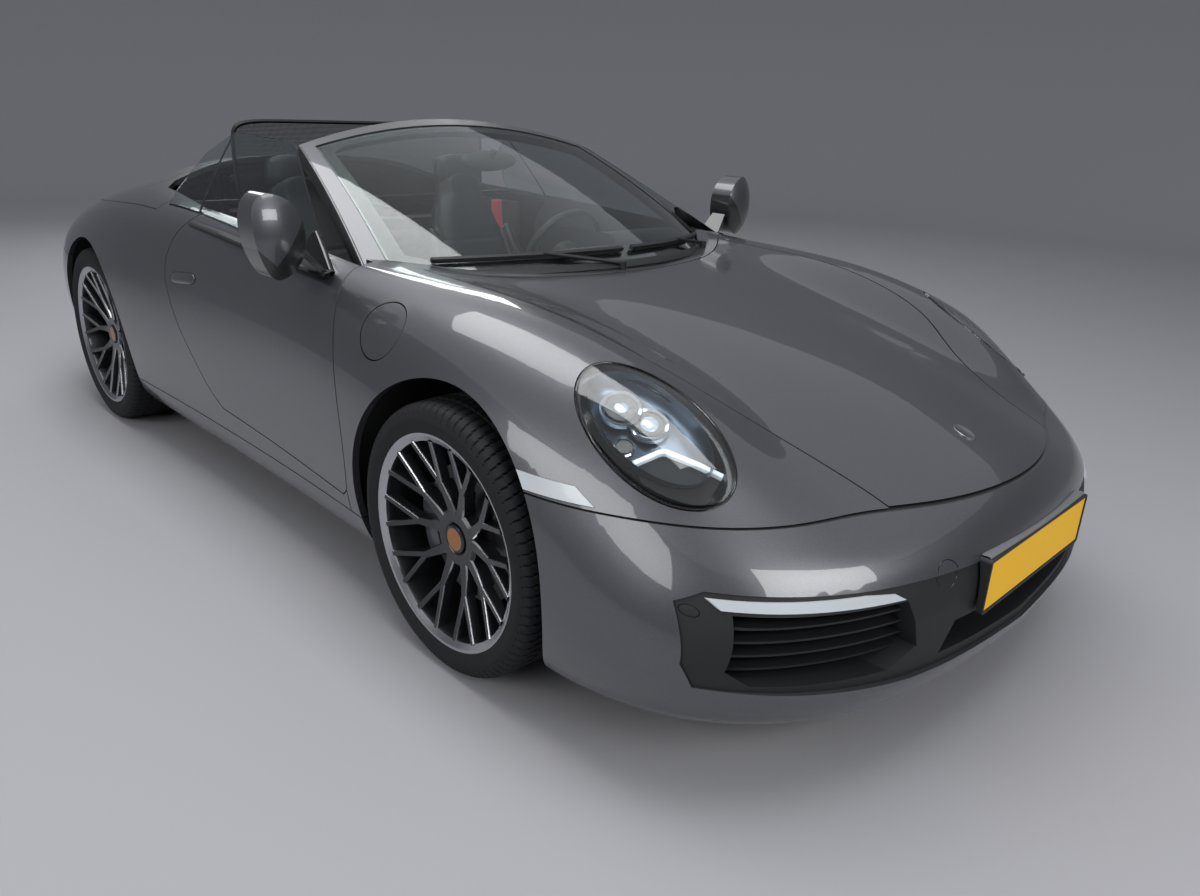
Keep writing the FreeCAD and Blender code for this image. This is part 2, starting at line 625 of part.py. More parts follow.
door_glass = side_glass(DOOR_GLASS_OUTLINE)
parts["quarter_glass"] = both_sides(side_glass(QUARTER_GLASS_OUTLINE).cut(outset))
parts["door_right"] = parts["door_right"].cut(side_glass(DOOR_GLASS_OUTLINE, RUNNING_GAP))
parts["door_glass_right"] = door_glass
parts["door_glass_left"] = mirrored(door_glass)


# Wheels, built about the origin with the outer face towards -Y
HUB_RADIUS = 74.0
CAP_RADIUS = 34.0
DISH_DEPTH = 46.0
SPOKE_THICKNESS = 30.0
SPOKE_SPREAD = 18.0
FORK_SPREAD = 9.0
BOLT_CIRCLE_RADIUS = 54.0
BOLT_HOLE_RADIUS = 9.0
BARREL_WALL = 9.0
CAP_HEIGHT = 5.0
RING_SIDES = 60
BRAKE_HAT_DEPTH = 48.0


def turned(profile):
    """Revolve a closed outline of (y, radius) points about the Y axis."""
    solid = polygon([V(radius, y, 0) for y, radius in profile]).revolve(V(0, 0, 0), V(0, 1, 0), 360)
    if solid.Volume < 0:
        solid.reverse()
    return solid


def faceted_ring(profile, sides, phase=0.0):
    """The same ring with flats, whose middles lie at the outline's radius."""
    stretch = 1 / math.cos(math.pi / sides)
    corners = []
    for i in range(sides):
        angle = math.radians(phase) + (i + 0.5) * 2 * math.pi / sides
        corners.append([V(r * stretch * math.cos(angle), y, r * stretch * math.sin(angle)) for y, r in profile])
    faces = []
    for i in range(sides):
        here, there = corners[i - 1], corners[i]
        for j in range(len(profile)):
            quad = [here[j], here[j - 1], there[j - 1], there[j]]
            if profile[j][1] == 0 and profile[j - 1][1] == 0:
                continue
            if profile[j][1] == 0:
                quad = [here[j], here[j - 1], there[j - 1]]
            if profile[j - 1][1] == 0:
                quad = [here[j], here[j - 1], there[j]]
            faces.append(polygon(quad))
    solid = Part.Solid(Part.Shell(faces))
    if solid.Volume < 0:
        solid.reverse()
    return solid


def polar(radius, degrees):
    return V(radius * math.cos(math.radians(degrees)), 0, radius * math.sin(math.radians(degrees)))


def bar(start, end, start_width, end_width):
    """A flat tapered bar from start to end in the wheel's plane."""
    along = (end - start).normalize()
    across = V(-along.z, 0, along.x)
    return polygon([start - across * (start_width / 2), end - across * (end_width / 2),
                    end + across * (end_width / 2), start + across * (start_width / 2)])


def spoke_pattern(tip_radius, y0, depth):
    """Five pairs of spokes, each spoke forked towards the lip, as one prism through the wheel."""
    flats = []
    fork_radius = tip_radius * 0.60
    for pair in range(SPOKE_PAIRS):
        middle = 90 + pair * 360 / SPOKE_PAIRS
        for side in (-1, 1):
            root = polar(HUB_RADIUS - 12, middle + side * 10)
            fork = polar(fork_radius, middle + side * SPOKE_SPREAD)
            flats.append(bar(root, fork + (fork - root) * 0.03, 34, 20))
            for branch in (-1, 1):
                tip = polar(tip_radius, middle + side * SPOKE_SPREAD + branch * FORK_SPREAD)
                flats.append(bar(fork - (tip - fork) * 0.05, tip, 17, 14))
    hub = Part.makeCylinder(HUB_RADIUS, depth, V(0, y0, 0), V(0, 1, 0))
    return hub.fuse([side_prism(flat, y0, y0 + depth) for flat in flats]).removeSplitter()


def rim(tyre_width, bead_radius):
    """A cast wheel: a drop barrel, dished forked spokes and a hub with five bolt holes and a cap."""
    half = tyre_width / 2 - 8
    lip = bead_radius + RIM_FLANGE
    well = bead_radius - BARREL_WALL
    barrel = faceted_ring([(-half, lip), (-half + 8, lip), (-half + 14, bead_radius), (half - 12, bead_radius),
                           (half - 7, lip), (half, lip), (half, well), (-half + 18, well),
                           (-half, lip - 8)], RING_SIDES)
    hub_front = -half + DISH_DEPTH
    hub_back = hub_front + SPOKE_THICKNESS + 6
    dish = faceted_ring([(hub_front, 0), (hub_front, HUB_RADIUS), (-half + 2, lip - 8),
                         (-half + SPOKE_THICKNESS + 26, lip - 8), (hub_back, HUB_RADIUS), (hub_back, 0)],
                        SPOKE_PAIRS * 4, 180 / (SPOKE_PAIRS * 4))
    spokes = spoke_pattern(bead_radius - 4, -half - 5, tyre_width).common(dish)
    wheel = barrel.fuse(spokes).removeSplitter()
    for i in range(SPOKE_PAIRS):
        at = polar(BOLT_CIRCLE_RADIUS, 54 + 72 * i)
        wheel = wheel.cut(Part.makeCylinder(BOLT_HOLE_RADIUS, 22, V(at.x, hub_front - 1, at.z), V(0, 1, 0)))
    cap = Part.makeCylinder(CAP_RADIUS, CAP_HEIGHT + 1, V(0, hub_front - CAP_HEIGHT, 0), V(0, 1, 0))
    return wheel.fuse(cap), hub_back


def tyre(width, radius, bead_radius):
    half = width / 2
    lip_y = half - 8
    inside = bead_radius + RUNNING_GAP
    over_lip = bead_radius + RIM_FLANGE + RUNNING_GAP
    middle = (radius + over_lip) / 2
    profile = [(-lip_y + 14.5, inside), (-lip_y + 8.5, over_lip), (-lip_y - 1, over_lip + 2), (-half, middle),
               (-half + 8, radius - 20), (-half + 28, radius - 4), (-half * 0.45, radius),
               (half * 0.45, radius), (half - 28, radius - 4), (half - 8, radius - 20),
               (half, middle), (lip_y + 1, over_lip + 2), (lip_y - 7.5, over_lip), (lip_y - 12.5, inside)]
    return faceted_ring(profile, RING_SIDES)


def brake_disc(hub_back):
    """The disc's hat stands on the hub face, and its rotor is the ring behind."""
    rotor_back = hub_back + BRAKE_HAT_DEPTH
    front = rotor_back - BRAKE_DISC_THICKNESS
    bore = SPINDLE_RADIUS + RUNNING_GAP
    return turned([(hub_back, bore), (hub_back, 88), (front, 90), (front, BRAKE_DISC_RADIUS),
                   (rotor_back, BRAKE_DISC_RADIUS), (rotor_back, 80), (hub_back + 10, 78),
                   (hub_back + 10, bore)]), front, rotor_back


WHEELS = {
    "front": (FRONT_AXLE_X, FRONT_TRACK / 2, FRONT_TYRE_RADIUS, FRONT_TYRE_WIDTH, FRONT_RIM_RADIUS),
    "rear": (REAR_AXLE_X, REAR_TRACK / 2, REAR_TYRE_RADIUS, REAR_TYRE_WIDTH, REAR_RIM_RADIUS),
}
wheel_levels = {}
for end, (axle_x, track_half, radius, width, bead) in WHEELS.items():
    wheel, hub_back = rim(width, bead)
    disc, rotor_front, rotor_back = brake_disc(hub_back)
    wheel_levels[end] = (hub_back, rotor_front, rotor_back)
    for kind, shape in (("rim", wheel), ("tyre", tyre(width, radius, bead)), ("brake_disc", disc)):
        placed = shape.copy()
        placed.translate(V(axle_x, -track_half, radius))
        parts[kind + "_" + end + "_right"] = placed
        parts[kind + "_" + end + "_left"] = mirrored(placed)


# Hubs, brakes and suspension
def knuckle(end, kingpin):
    """Upright with its spindle, caliper and joint eyes; kingpin is the steering axis or None."""
    axle_x, track_half, radius, width, bead = WHEELS[end]
    hub_back, rotor_front, rotor_back = [level - track_half for level in wheel_levels[end]]
    spindle = Part.makeCylinder(SPINDLE_RADIUS, rotor_back + 30 - hub_back - 2, V(axle_x, hub_back + 2, radius),
                                V(0, 1, 0))
    flange = Part.makeCylinder(62, 26, V(axle_x, rotor_back + 12, radius), V(0, 1, 0))
    upright = box(axle_x - 32, axle_x + 32, rotor_back + 14, rotor_back + 46, KINGPIN_BOTTOM_Z + 18,
                  2 * radius - KINGPIN_BOTTOM_Z - 18)
    reach = BRAKE_DISC_RADIUS + 14
    pad = Part.makeCylinder(reach, rotor_back - rotor_front + 42, V(axle_x, rotor_front - 14, radius), V(0, 1, 0))
    pad = pad.cut(Part.makeCylinder(BRAKE_DISC_RADIUS - 62, 400, V(axle_x, rotor_front - 100, radius), V(0, 1, 0)))
    wedge = polygon([V(axle_x, 0, radius), V(axle_x - 300, 0, radius - 130), V(axle_x - 300, 0, radius + 130)])
    caliper = pad.common(side_prism(wedge, -1000, -400))
    slot = Part.makeCylinder(BRAKE_DISC_RADIUS + 5, rotor_back - rotor_front + 10,
                             V(axle_x, rotor_front - 5, radius), V(0, 1, 0))
    caliper = caliper.cut(slot)
    bracket = box(axle_x - 150, axle_x, rotor_back + 18, rotor_back + 36, radius - 26, radius + 26)
    body = spindle.fuse([flange, upright, caliper, bracket])
    return body


def rod(a, b, radius):
    return Part.makeCylinder(radius, (b - a).Length, a, b - a)


front_knuckle = knuckle("front", True)
parts["knuckle_front_right"] = front_knuckle
parts["knuckle_front_left"] = mirrored(front_knuckle)
rear_upright = knuckle("rear", None)
rear_block_face = wheel_levels["rear"][2] - REAR_TRACK / 2 + 46


# Structure that the panels sit on, a running gap inside the skin
seat = body_solid(inset_rows(rows, SKIN + RUNNING_GAP), 0.04)
BULKHEAD_X = 800.0
BULKHEAD_BACK = FRONT_AXLE_X - LINER_RADIUS - 3
TUNNEL_HALF_WIDTH = 95.0
TUNNEL_TOP = 330.0
SILL_BOX_TOP = 300.0
REAR_FLOOR_X = -470.0
REAR_SEAT_LEVEL = 330.0
REAR_BULKHEAD_X = -900.0
REAR_CABIN_HALF_WIDTH = 580.0
REAR_WALL_X = REAR_AXLE_X + LINER_RADIUS + 5
PARCEL_SHELF = 800.0
LINER_PLATE = (786.0, 796.0)
REAR_RAIL = (520.0, 600.0)
WING_PLATE = (772.0, 782.0)
TUB_HALF_WIDTH = 455.0
TUB_WALL = 50.0
TUB_X = (1010.0, 1960.0)
TUB_FLOOR = 300.0
TUB_FLOOR_THICKNESS = 20.0

# Wheel-arch liners
def arch_liner(axle_x, axle_z, inner_y, plate):
    """Half-round liner over a wheel with its inner wall, inside the wing."""
    around = wheel_cylinder(axle_x, axle_z, LINER_RADIUS, -1000, -inner_y)
    hollow = wheel_cylinder(axle_x, axle_z, LINER_RADIUS - LINER_THICKNESS, -1000, -inner_y - LINER_THICKNESS)
    open_below = box(axle_x - 500, axle_x + 500, -1001, 0, 0, axle_z - LINER_DROP)
    gate = box(axle_x - 200, axle_x + 200, -inner_y - 20, 1, 0, axle_z + LINER_GATE_RISE)
    return around.cut(hollow).cut(open_below).cut(gate).common(seat)


LINER_DROP = 60.0
LINER_GATE_RISE = 150.0
STRUT_HOLE_RADIUS = 60.0
kingpin_low = V(FRONT_AXLE_X, -KINGPIN_BOTTOM_Y, KINGPIN_BOTTOM_Z)
kingpin_high = V(FRONT_AXLE_X, -KINGPIN_TOP_Y, KINGPIN_TOP_Z)
kingpin_up = (kingpin_high - kingpin_low).normalize()


def on_kingpin(z):
    return kingpin_low + kingpin_up * ((z - kingpin_low.z) / kingpin_up.z)


front_liner = arch_liner(FRONT_AXLE_X, FRONT_TYRE_RADIUS, TUB_HALF_WIDTH + 1, WING_PLATE)
front_liner = front_liner.cut(rod(on_kingpin(600), on_kingpin(900), STRUT_HOLE_RADIUS))
rear_liner = arch_liner(REAR_AXLE_X, REAR_TYRE_RADIUS, REAR_CABIN_HALF_WIDTH + 6, LINER_PLATE)
parts["arch_liners"] = both_sides(Part.makeCompound([front_liner, rear_liner]))

# Cabin tub: floor, sills, tunnel, front and rear bulkheads and the walls beside the rear seats
floor_level = FLOOR_BOTTOM + FLOOR_THICKNESS
floor_plate = box(REAR_FLOOR_X, BULKHEAD_BACK, -778, 778, FLOOR_BOTTOM, floor_level)
sill_box = box(REAR_WALL_X, BULKHEAD_BACK - 6, -1000, -680, floor_level, SILL_BOX_TOP).common(seat)
tunnel = box(REAR_FLOOR_X, BULKHEAD_X, -TUNNEL_HALF_WIDTH, TUNNEL_HALF_WIDTH, floor_level, TUNNEL_TOP)
front_bulkhead = box(BULKHEAD_X, BULKHEAD_BACK, -735, 735, floor_level, 825).fuse(
    box(BULKHEAD_X, BULKHEAD_BACK, -560, 560, 820, 900)).common(seat)
rear_step = box(REAR_FLOOR_X - 20, REAR_FLOOR_X, -735, 735, FLOOR_BOTTOM, REAR_SEAT_LEVEL)
rear_floor = box(REAR_BULKHEAD_X, REAR_FLOOR_X, -REAR_CABIN_HALF_WIDTH, REAR_CABIN_HALF_WIDTH,
                 REAR_SEAT_LEVEL - 20, REAR_SEAT_LEVEL)
rear_bulkhead = box(REAR_BULKHEAD_X - 20, REAR_BULKHEAD_X, -REAR_CABIN_HALF_WIDTH, REAR_CABIN_HALF_WIDTH,
                    REAR_SEAT_LEVEL - 20, PARCEL_SHELF)
rear_wall = box(REAR_BULKHEAD_X - 20, REAR_WALL_X + 5, -REAR_CABIN_HALF_WIDTH - 5, -REAR_CABIN_HALF_WIDTH + 5,
                REAR_SEAT_LEVEL - 20, PARCEL_SHELF)
wide_wall = box(REAR_WALL_X, REAR_FLOOR_X, -742, -722, FLOOR_BOTTOM, 900).common(seat)
return_wall = box(REAR_WALL_X, REAR_WALL_X + 10, -742, -REAR_CABIN_HALF_WIDTH + 5, FLOOR_BOTTOM, 900).common(seat)
rear_sill = box(REAR_WALL_X, REAR_FLOOR_X, -742, -REAR_CABIN_HALF_WIDTH + 5, FLOOR_BOTTOM, SILL_BOX_TOP)
shelf = box(-1012, REAR_BULKHEAD_X, -700, 700, PARCEL_SHELF - 16, PARCEL_SHELF).common(seat)
parts["cabin_tub"] = floor_plate.fuse(
    [tunnel, front_bulkhead, rear_step, rear_floor, rear_bulkhead, shelf, sill_box, mirrored(sill_box),
     rear_wall, mirrored(rear_wall), wide_wall, mirrored(wide_wall), return_wall, mirrored(return_wall),
     rear_sill, mirrored(rear_sill)]).removeSplitter()

# Front body: luggage tub, strut towers, longitudinals and the crash beam
tub = box(TUB_X[0], TUB_X[1], -TUB_HALF_WIDTH, TUB_HALF_WIDTH, TUB_FLOOR, 1000).common(deep_inner)
tub_space = box(TUB_X[0] + TUB_WALL, TUB_X[1] - TUB_WALL, -TUB_HALF_WIDTH + TUB_WALL, TUB_HALF_WIDTH - TUB_WALL,
                TUB_FLOOR + TUB_FLOOR_THICKNESS, 1001)
joint_box = box(BULKHEAD_BACK, TUB_X[0], -TUB_HALF_WIDTH + 5, TUB_HALF_WIDTH - 5, TUB_FLOOR, WING_PLATE[1])
wing_plate = box(BULKHEAD_BACK + 6, 1520, -1000, -TUB_HALF_WIDTH + 5, *WING_PLATE).common(seat)
wing_plate = wing_plate.cut(rod(on_kingpin(740), on_kingpin(820), 12 + RUNNING_GAP))
tower = rod(on_kingpin(753), on_kingpin(778), 46).cut(rod(on_kingpin(740), on_kingpin(820), 12 + RUNNING_GAP))
tower = tower.common(box(0, 2000, -900, 0, 700, WING_PLATE[1]))
rail = box(TUB_X[1] - 5, 2000, -440, -390, 430, 510)
beam = box(1990, 2040, -600, 600, 425, 530).common(seat)
slam_panel = box(TUB_X[1] - 30, 2240, -560, 560, 548, 568).common(seat)
parts["front_body"] = tub.cut(tub_space).fuse(
    [joint_box, wing_plate, mirrored(wing_plate), tower, mirrored(tower), rail, mirrored(rail), beam,
     slam_panel]).removeSplitter()

# Rear body: the plates over the rear wheels, cross-beams, the tail panel and the engine cradle
liner_plate = box(-1620, REAR_WALL_X, -1000, -REAR_CABIN_HALF_WIDTH, *LINER_PLATE).common(seat)
liner_plate = liner_plate.cut(box(-1012 - RUNNING_GAP, -700, -742 - RUNNING_GAP, 0, 700, 900))
deck_beam = box(-1600, -1440, -700, 700, 740, LINER_PLATE[1]).common(deep_inner)
rear_plate = box(-2150, -1600, -1000, 1000, 610, 640).common(seat)
plate_gap = box(-1960, -1500, -430, 430, 600, 650)
tail_panel = box(-2160, -2080, -700, 700, 610, 760).common(seat)
beam_rear = box(-2170, -2110, -640, 640, 440, 580).common(seat)
side_rail = box(-2150, -1040, -480, -440, *REAR_RAIL)
drop = box(-1640, -1560, -480, -440, REAR_RAIL[0], LINER_PLATE[1])
parts["rear_body"] = rear_plate.cut(plate_gap).fuse(
    [liner_plate, mirrored(liner_plate), deck_beam, tail_panel, beam_rear, side_rail, mirrored(side_rail),
     drop, mirrored(drop)]).removeSplitter()

# Hinges: each is a bar bent round the hinge axis, which slides in a slot of a fixed bracket
DOOR_HINGE = V(station(821), -914, 0)
DOOR_HINGE_LEVELS = (640.0, 681.0)
DOOR_HINGE_RADIUS = 80.0
DOOR_HINGE_BAR = (20.0, 12.0)
pillar = box(780, BULKHEAD_BACK, -850, -730, 632, 722).common(seat)
door = parts["door_right"]
for level in DOOR_HINGE_LEVELS:
    centre = DOOR_HINGE + V(0, 0, level + DOOR_HINGE_BAR[0] / 2)
    start = V(-math.sin(math.radians(66)), math.cos(math.radians(66)), 0)
    width, thickness = DOOR_HINGE_BAR
    door = door.fuse(hinge_ring(centre, V(0, 0, -1), start, DOOR_HINGE_RADIUS, 111, width, thickness))
    pillar = pillar.cut(hinge_ring(centre, V(0, 0, 1), start, DOOR_HINGE_RADIUS, 360,
                                   width + 2 * HINGE_GAP, thickness + 2 * HINGE_GAP))
parts["door_right"] = door.removeSplitter()
parts["cabin_tub"] = parts["cabin_tub"].fuse([pillar, mirrored(pillar)])


def lid_hinge(lid, carrier, centre, axis, start, radius, sweep, post):
    """A pair of bent bars on a lid and the posts with their slots on the part that carries them."""
    width, thickness = LID_HINGE_BAR
    bar_shape = hinge_ring(centre, axis, start, radius, sweep, width, thickness)
    groove = hinge_ring(centre, axis, start, radius, 360, width + 2 * HINGE_GAP, thickness + 2 * HINGE_GAP)
    post = post.cut(groove)
    parts[lid] = parts[lid].fuse([bar_shape, mirrored(bar_shape)])
    parts[carrier] = parts[carrier].fuse([post, mirrored(post)])


LID_HINGE_BAR = (16.0, 12.0)
BONNET_HINGE = V(station(798), -598, 891)
COVER_HINGE = V(station(-1503), -250, 1008)
LID_HINGE = V(station(-1517), -180, 1008)
lid_hinge("bonnet", "front_body", BONNET_HINGE, V(0, 1, 0), V(0.94, 0, -0.34), 50, 98,
          box(836, 850, -611, -585, 775, 857))
lid_hinge("top_cover", "rear_body", COVER_HINGE, V(0, 1, 0), V(0.93, 0, -0.37), 60, 100,
          box(-1484, -1464, -263, -237, 780, 966))
lid_hinge("engine_lid", "rear_body", LID_HINGE, V(0, -1, 0), V(-0.93, 0, -0.37), 60, 110,
          box(-1552, -1532, -193, -167, 780, 966))

# Fuel filler: flap hinge, pocket and cap
flap_normal = V(FLAP_NORMAL).normalize()
flap_forward = (V(1, 0, 0) - flap_normal * flap_normal.x).normalize()
FLAP_HINGE_RISE = 8.0
flap_hinge = FLAP_CENTRE + flap_forward * (FLAP_RADIUS + 2) + flap_normal * FLAP_HINGE_RISE
flap_axis = flap_forward.cross(flap_normal)
flap_start = flap_forward * -0.95 - flap_normal * 0.31
FLAP_HINGE_RADIUS = 40.0
FLAP_HINGE_BAR = (12.0, 6.0)
FLAP_HINGE_SWEEP = 120.0
POCKET_RADIUS = 84.0
POCKET_WALL = 8.0
POCKET_DEPTH = 92.0


def along_flap(radius, near, far):
    """A cylinder on the flap's own axis between two depths under the wing's surface."""
    return Part.makeCylinder(radius, far - near, FLAP_CENTRE - flap_normal * far, flap_normal)


lug_place = FLAP_CENTRE + flap_forward * (FLAP_RADIUS - 4)
pocket = along_flap(POCKET_RADIUS + POCKET_WALL, -60, POCKET_DEPTH).common(seat)
lug = along_flap(POCKET_RADIUS + 4, 30 - FLAP_HINGE_RISE, 60 - FLAP_HINGE_RISE).common(
    Part.makeCylinder(16, 40, lug_place - flap_normal * 62, flap_normal))
pocket = pocket.cut(along_flap(POCKET_RADIUS, -70, POCKET_DEPTH - 6)).fuse(lug)
pocket = pocket.fuse(along_flap(40, POCKET_DEPTH - 34, POCKET_DEPTH - 5))
bar_wide, bar_thick = FLAP_HINGE_BAR
flap_groove = hinge_ring(flap_hinge, flap_axis, flap_start, FLAP_HINGE_RADIUS, 360,
                         bar_wide + 2 * HINGE_GAP, bar_thick + 2 * HINGE_GAP)
bar_room = hinge_ring(flap_hinge, flap_axis, flap_start, FLAP_HINGE_RADIUS, FLAP_HINGE_SWEEP + 5,
                      bar_wide + 2 * HINGE_GAP, bar_thick + 2 * HINGE_GAP)
pocket = pocket.cut(flap_groove)
pocket_hole = along_flap(POCKET_RADIUS + POCKET_WALL - 1, -60, POCKET_DEPTH - 1)
parts["front_body"] = parts["front_body"].cut(pocket_hole).cut(bar_room).fuse(pocket)
parts["arch_liners"] = parts["arch_liners"].cut(along_flap(POCKET_RADIUS + POCKET_WALL + RUNNING_GAP, -60,
                                                           POCKET_DEPTH + RUNNING_GAP))
parts["filler_flap"] = parts["filler_flap"].fuse(
    hinge_ring(flap_hinge, flap_axis, flap_start, FLAP_HINGE_RADIUS, FLAP_HINGE_SWEEP, *FLAP_HINGE_BAR))

# Front struts and suspension arms
STRUT_RADIUS = 27.0
strut = rod(on_kingpin(420), on_kingpin(742), STRUT_RADIUS).fuse(rod(on_kingpin(740), on_kingpin(780), 12))
strut = strut.fuse(rod(on_kingpin(690), on_kingpin(704), 44))
bracket = box(FRONT_AXLE_X - 24, FRONT_AXLE_X + 24, -745, -640, 410, 465)
foot = rod(on_kingpin(KINGPIN_BOTTOM_Z - 12), on_kingpin(KINGPIN_BOTTOM_Z + 30), 24)
foot = foot.cut(rod(on_kingpin(KINGPIN_BOTTOM_Z - 30), on_kingpin(KINGPIN_BOTTOM_Z + 22), 10 + RUNNING_GAP))
foot = foot.fuse(box(FRONT_AXLE_X - 24, FRONT_AXLE_X + 24, -760, -704, 212, 232).cut(
    rod(on_kingpin(180), on_kingpin(212), 12)))
knuckle_front = parts["knuckle_front_right"].fuse([strut, bracket, foot])
parts["knuckle_front_right"] = knuckle_front
parts["knuckle_front_left"] = mirrored(knuckle_front)

subframe = box(FRONT_AXLE_X - 170, FRONT_AXLE_X + 170, -340, 340, 185, 235).fuse(
    [box(FRONT_AXLE_X - 150, FRONT_AXLE_X - 110, -330, 330, 230, TUB_FLOOR),
     box(FRONT_AXLE_X + 110, FRONT_AXLE_X + 150, -330, 330, 230, TUB_FLOOR)])


def wishbone(axle_x, pivot_y, outer_y, z, outer_z):
    """A flat A-shaped arm from two pivots near the middle to one end at the wheel."""
    plan = polygon([V(axle_x - 140, pivot_y, 0), V(axle_x - 14, outer_y, 0), V(axle_x + 14, outer_y, 0),
                    V(axle_x + 140, pivot_y, 0), V(axle_x + 105, pivot_y, 0), V(axle_x, outer_y * 0.84, 0),
                    V(axle_x - 105, pivot_y, 0)])
    arm = plan_prism(plan, z, z + 24)
    eye = rod(V(axle_x, outer_y, outer_z - 6), V(axle_x, outer_y, z + 24), 18)
    return arm.fuse(eye)


front_arm = wishbone(FRONT_AXLE_X, -336, -KINGPIN_BOTTOM_Y - 3, KINGPIN_BOTTOM_Z - 44, KINGPIN_BOTTOM_Z - 44)
front_arm = front_arm.fuse([rod(on_kingpin(KINGPIN_BOTTOM_Z - 30), on_kingpin(KINGPIN_BOTTOM_Z + 18), 10),
                            box(FRONT_AXLE_X - 145, FRONT_AXLE_X - 100, -345, -320, 150, 190),
                            box(FRONT_AXLE_X + 100, FRONT_AXLE_X + 145, -345, -320, 150, 190)])
rack = rod(V(FRONT_AXLE_X - 190, -420, 260), V(FRONT_AXLE_X - 190, 420, 260), 28)
rack_mounts = box(FRONT_AXLE_X - 205, FRONT_AXLE_X - 140, -300, 300, 205, 262)
parts["front_subframe"] = subframe.fuse([rack, rack_mounts, front_arm, mirrored(front_arm)])

upright_face = rear_block_face + RUNNING_GAP
rear_arm_low = wishbone(REAR_AXLE_X, -330, upright_face + 18, 215, 215)
rear_arm_high = wishbone(REAR_AXLE_X, -430, upright_face + 18, 470, 470)
rear_block = box(REAR_AXLE_X - 150, REAR_AXLE_X + 150, -345, 345, 180, 235)
rear_hang = box(REAR_AXLE_X - 150, REAR_AXLE_X + 150, -470, -425, 465, REAR_RAIL[0] - RUNNING_GAP)
shaft = rod(V(REAR_AXLE_X, -300, REAR_TYRE_RADIUS), V(REAR_AXLE_X, upright_face, REAR_TYRE_RADIUS), 18)
damper = rod(V(REAR_AXLE_X - 45, -560, 229), V(REAR_AXLE_X - 45, -452, REAR_RAIL[0] - 12), 22)
parts["rear_suspension"] = both_sides(rear_upright)
rear_links = rear_block.fuse(
    [rear_arm_low, mirrored(rear_arm_low), rear_arm_high, mirrored(rear_arm_high), rear_hang,
     mirrored(rear_hang), shaft, mirrored(shaft), damper, mirrored(damper)])
parts["rear_suspension"] = Part.makeCompound(parts["rear_suspension"].Solids + rear_links.Solids)

# Seats
def side_profile(points):
    """A closed face from a smooth outline in the XZ plane."""
    curve = Part.BSplineCurve()
    curve.interpolate([V(x, 0, z) for x, z in points], PeriodicFlag=True)
    return Part.Face(Part.Wire(curve.toShape()))


SEAT_HALF_WIDTH = 245.0
SEAT_UNDERSIDE = 225.0
CUSHION_PROFILE = [(-170, 215), (-190, 330), (-60, 352), (120, 372), (290, 400), (322, 360), (280, 250), (60, 208)]
BACKREST_PROFILE = [(-150, 260), (-170, 420), (-240, 640), (-345, 850), (-385, 935), (-440, 935), (-445, 860),
                    (-370, 640), (-300, 430), (-270, 290)]
BOLSTER_PROFILE = [(-130, 300), (-110, 430), (-190, 640), (-320, 850), (-400, 850), (-330, 640), (-260, 430),
                   (-240, 310)]
SIDE_CUSHION_PROFILE = [(-150, 260), (-150, 400), (60, 405), (280, 425), (300, 350), (240, 260)]


def seat_shape(y):
    left = y - SEAT_HALF_WIDTH
    right = y + SEAT_HALF_WIDTH
    cushion = side_prism(side_profile(CUSHION_PROFILE), left + 60, right - 60)
    below = box(-600, 600, left - 1, right + 1, 0, SEAT_UNDERSIDE)
    back = side_prism(side_profile(BACKREST_PROFILE), left + 60, right - 60)
    pieces = [back]
    rails = []
    for low, high in ((left, left + 66), (right - 66, right)):
        pieces.append(side_prism(side_profile(BOLSTER_PROFILE), low, high))
        pieces.append(side_prism(side_profile(SIDE_CUSHION_PROFILE), low, high))
    for low, high in ((left + 40, left + 80), (right - 80, right - 40)):
        rails.append(box(-200, 260, low, high, floor_level + RUNNING_GAP, SEAT_UNDERSIDE + 30))
    head = side_prism(side_profile([(-372, 960), (-376, 1040), (-404, 1118), (-446, 1122), (-470, 1040),
                                    (-452, 955)]), y - 132, y + 132)
    neck = box(-432, -402, y - 70, y + 70, 900, 990)
    return cushion.fuse(pieces + [head, neck]).cut(below).fuse(rails).removeSplitter()


parts["seat_right"] = seat_shape(-SEAT_Y)
parts["seat_left"] = seat_shape(SEAT_Y)

rear_cushion = side_prism(side_profile([(-520, 332), (-505, 430), (-600, 452), (-760, 420), (-800, 340),
                                        (-660, 331)]), -520, -70)
rear_back = side_prism(side_profile([(-760, 380), (-740, 520), (-810, 700), (-865, 780), (-898, 760),
                                     (-903, 600), (-890, 400)]), -520, -70)
rear_seat = rear_cushion.fuse(rear_back)
rear_seat = rear_seat.cut(box(-1000, -400, -600, 0, 0, REAR_SEAT_LEVEL + RUNNING_GAP))
rear_seat = rear_seat.cut(box(-1000, REAR_BULKHEAD_X + RUNNING_GAP, -600, 0, 0, 900))
parts["rear_seats"] = both_sides(rear_seat)

# Dashboard, console, pedals and steering
DASH_BACK_X = 540.0
dash_side = side_profile([(560, 640), (DASH_BACK_X, 720), (556, 800), (610, 862), (700, 880), (840, 868),
                          (940, 850), (950, 780), (820, 740), (780, 640), (660, 610)])
dash = side_prism(dash_side, -736, 736)
dash = dash.common(plan_prism(grown(cabin_face, -2), 500, 1100))
dash = dash.cut(box(BULKHEAD_X - RUNNING_GAP, 1200, -800, 800, 500, 842))
dash = dash.cut(box(BULKHEAD_X - RUNNING_GAP, BULKHEAD_BACK + RUNNING_GAP, -561, 561, 800, 900))
hood = side_prism(side_profile([(500, 800), (530, 880), (600, 912), (690, 900), (700, 860), (600, 800)]),
                  SEAT_Y - 165, SEAT_Y + 165)
dash_stays = box(700, BULKHEAD_X - RUNNING_GAP, -560, 560, 700, 760)
dash = dash.cut(both_sides(box(500, 770, -800, -634, 822, 1000)))
parts["dashboard"] = dash.fuse([hood, dash_stays]).removeSplitter()
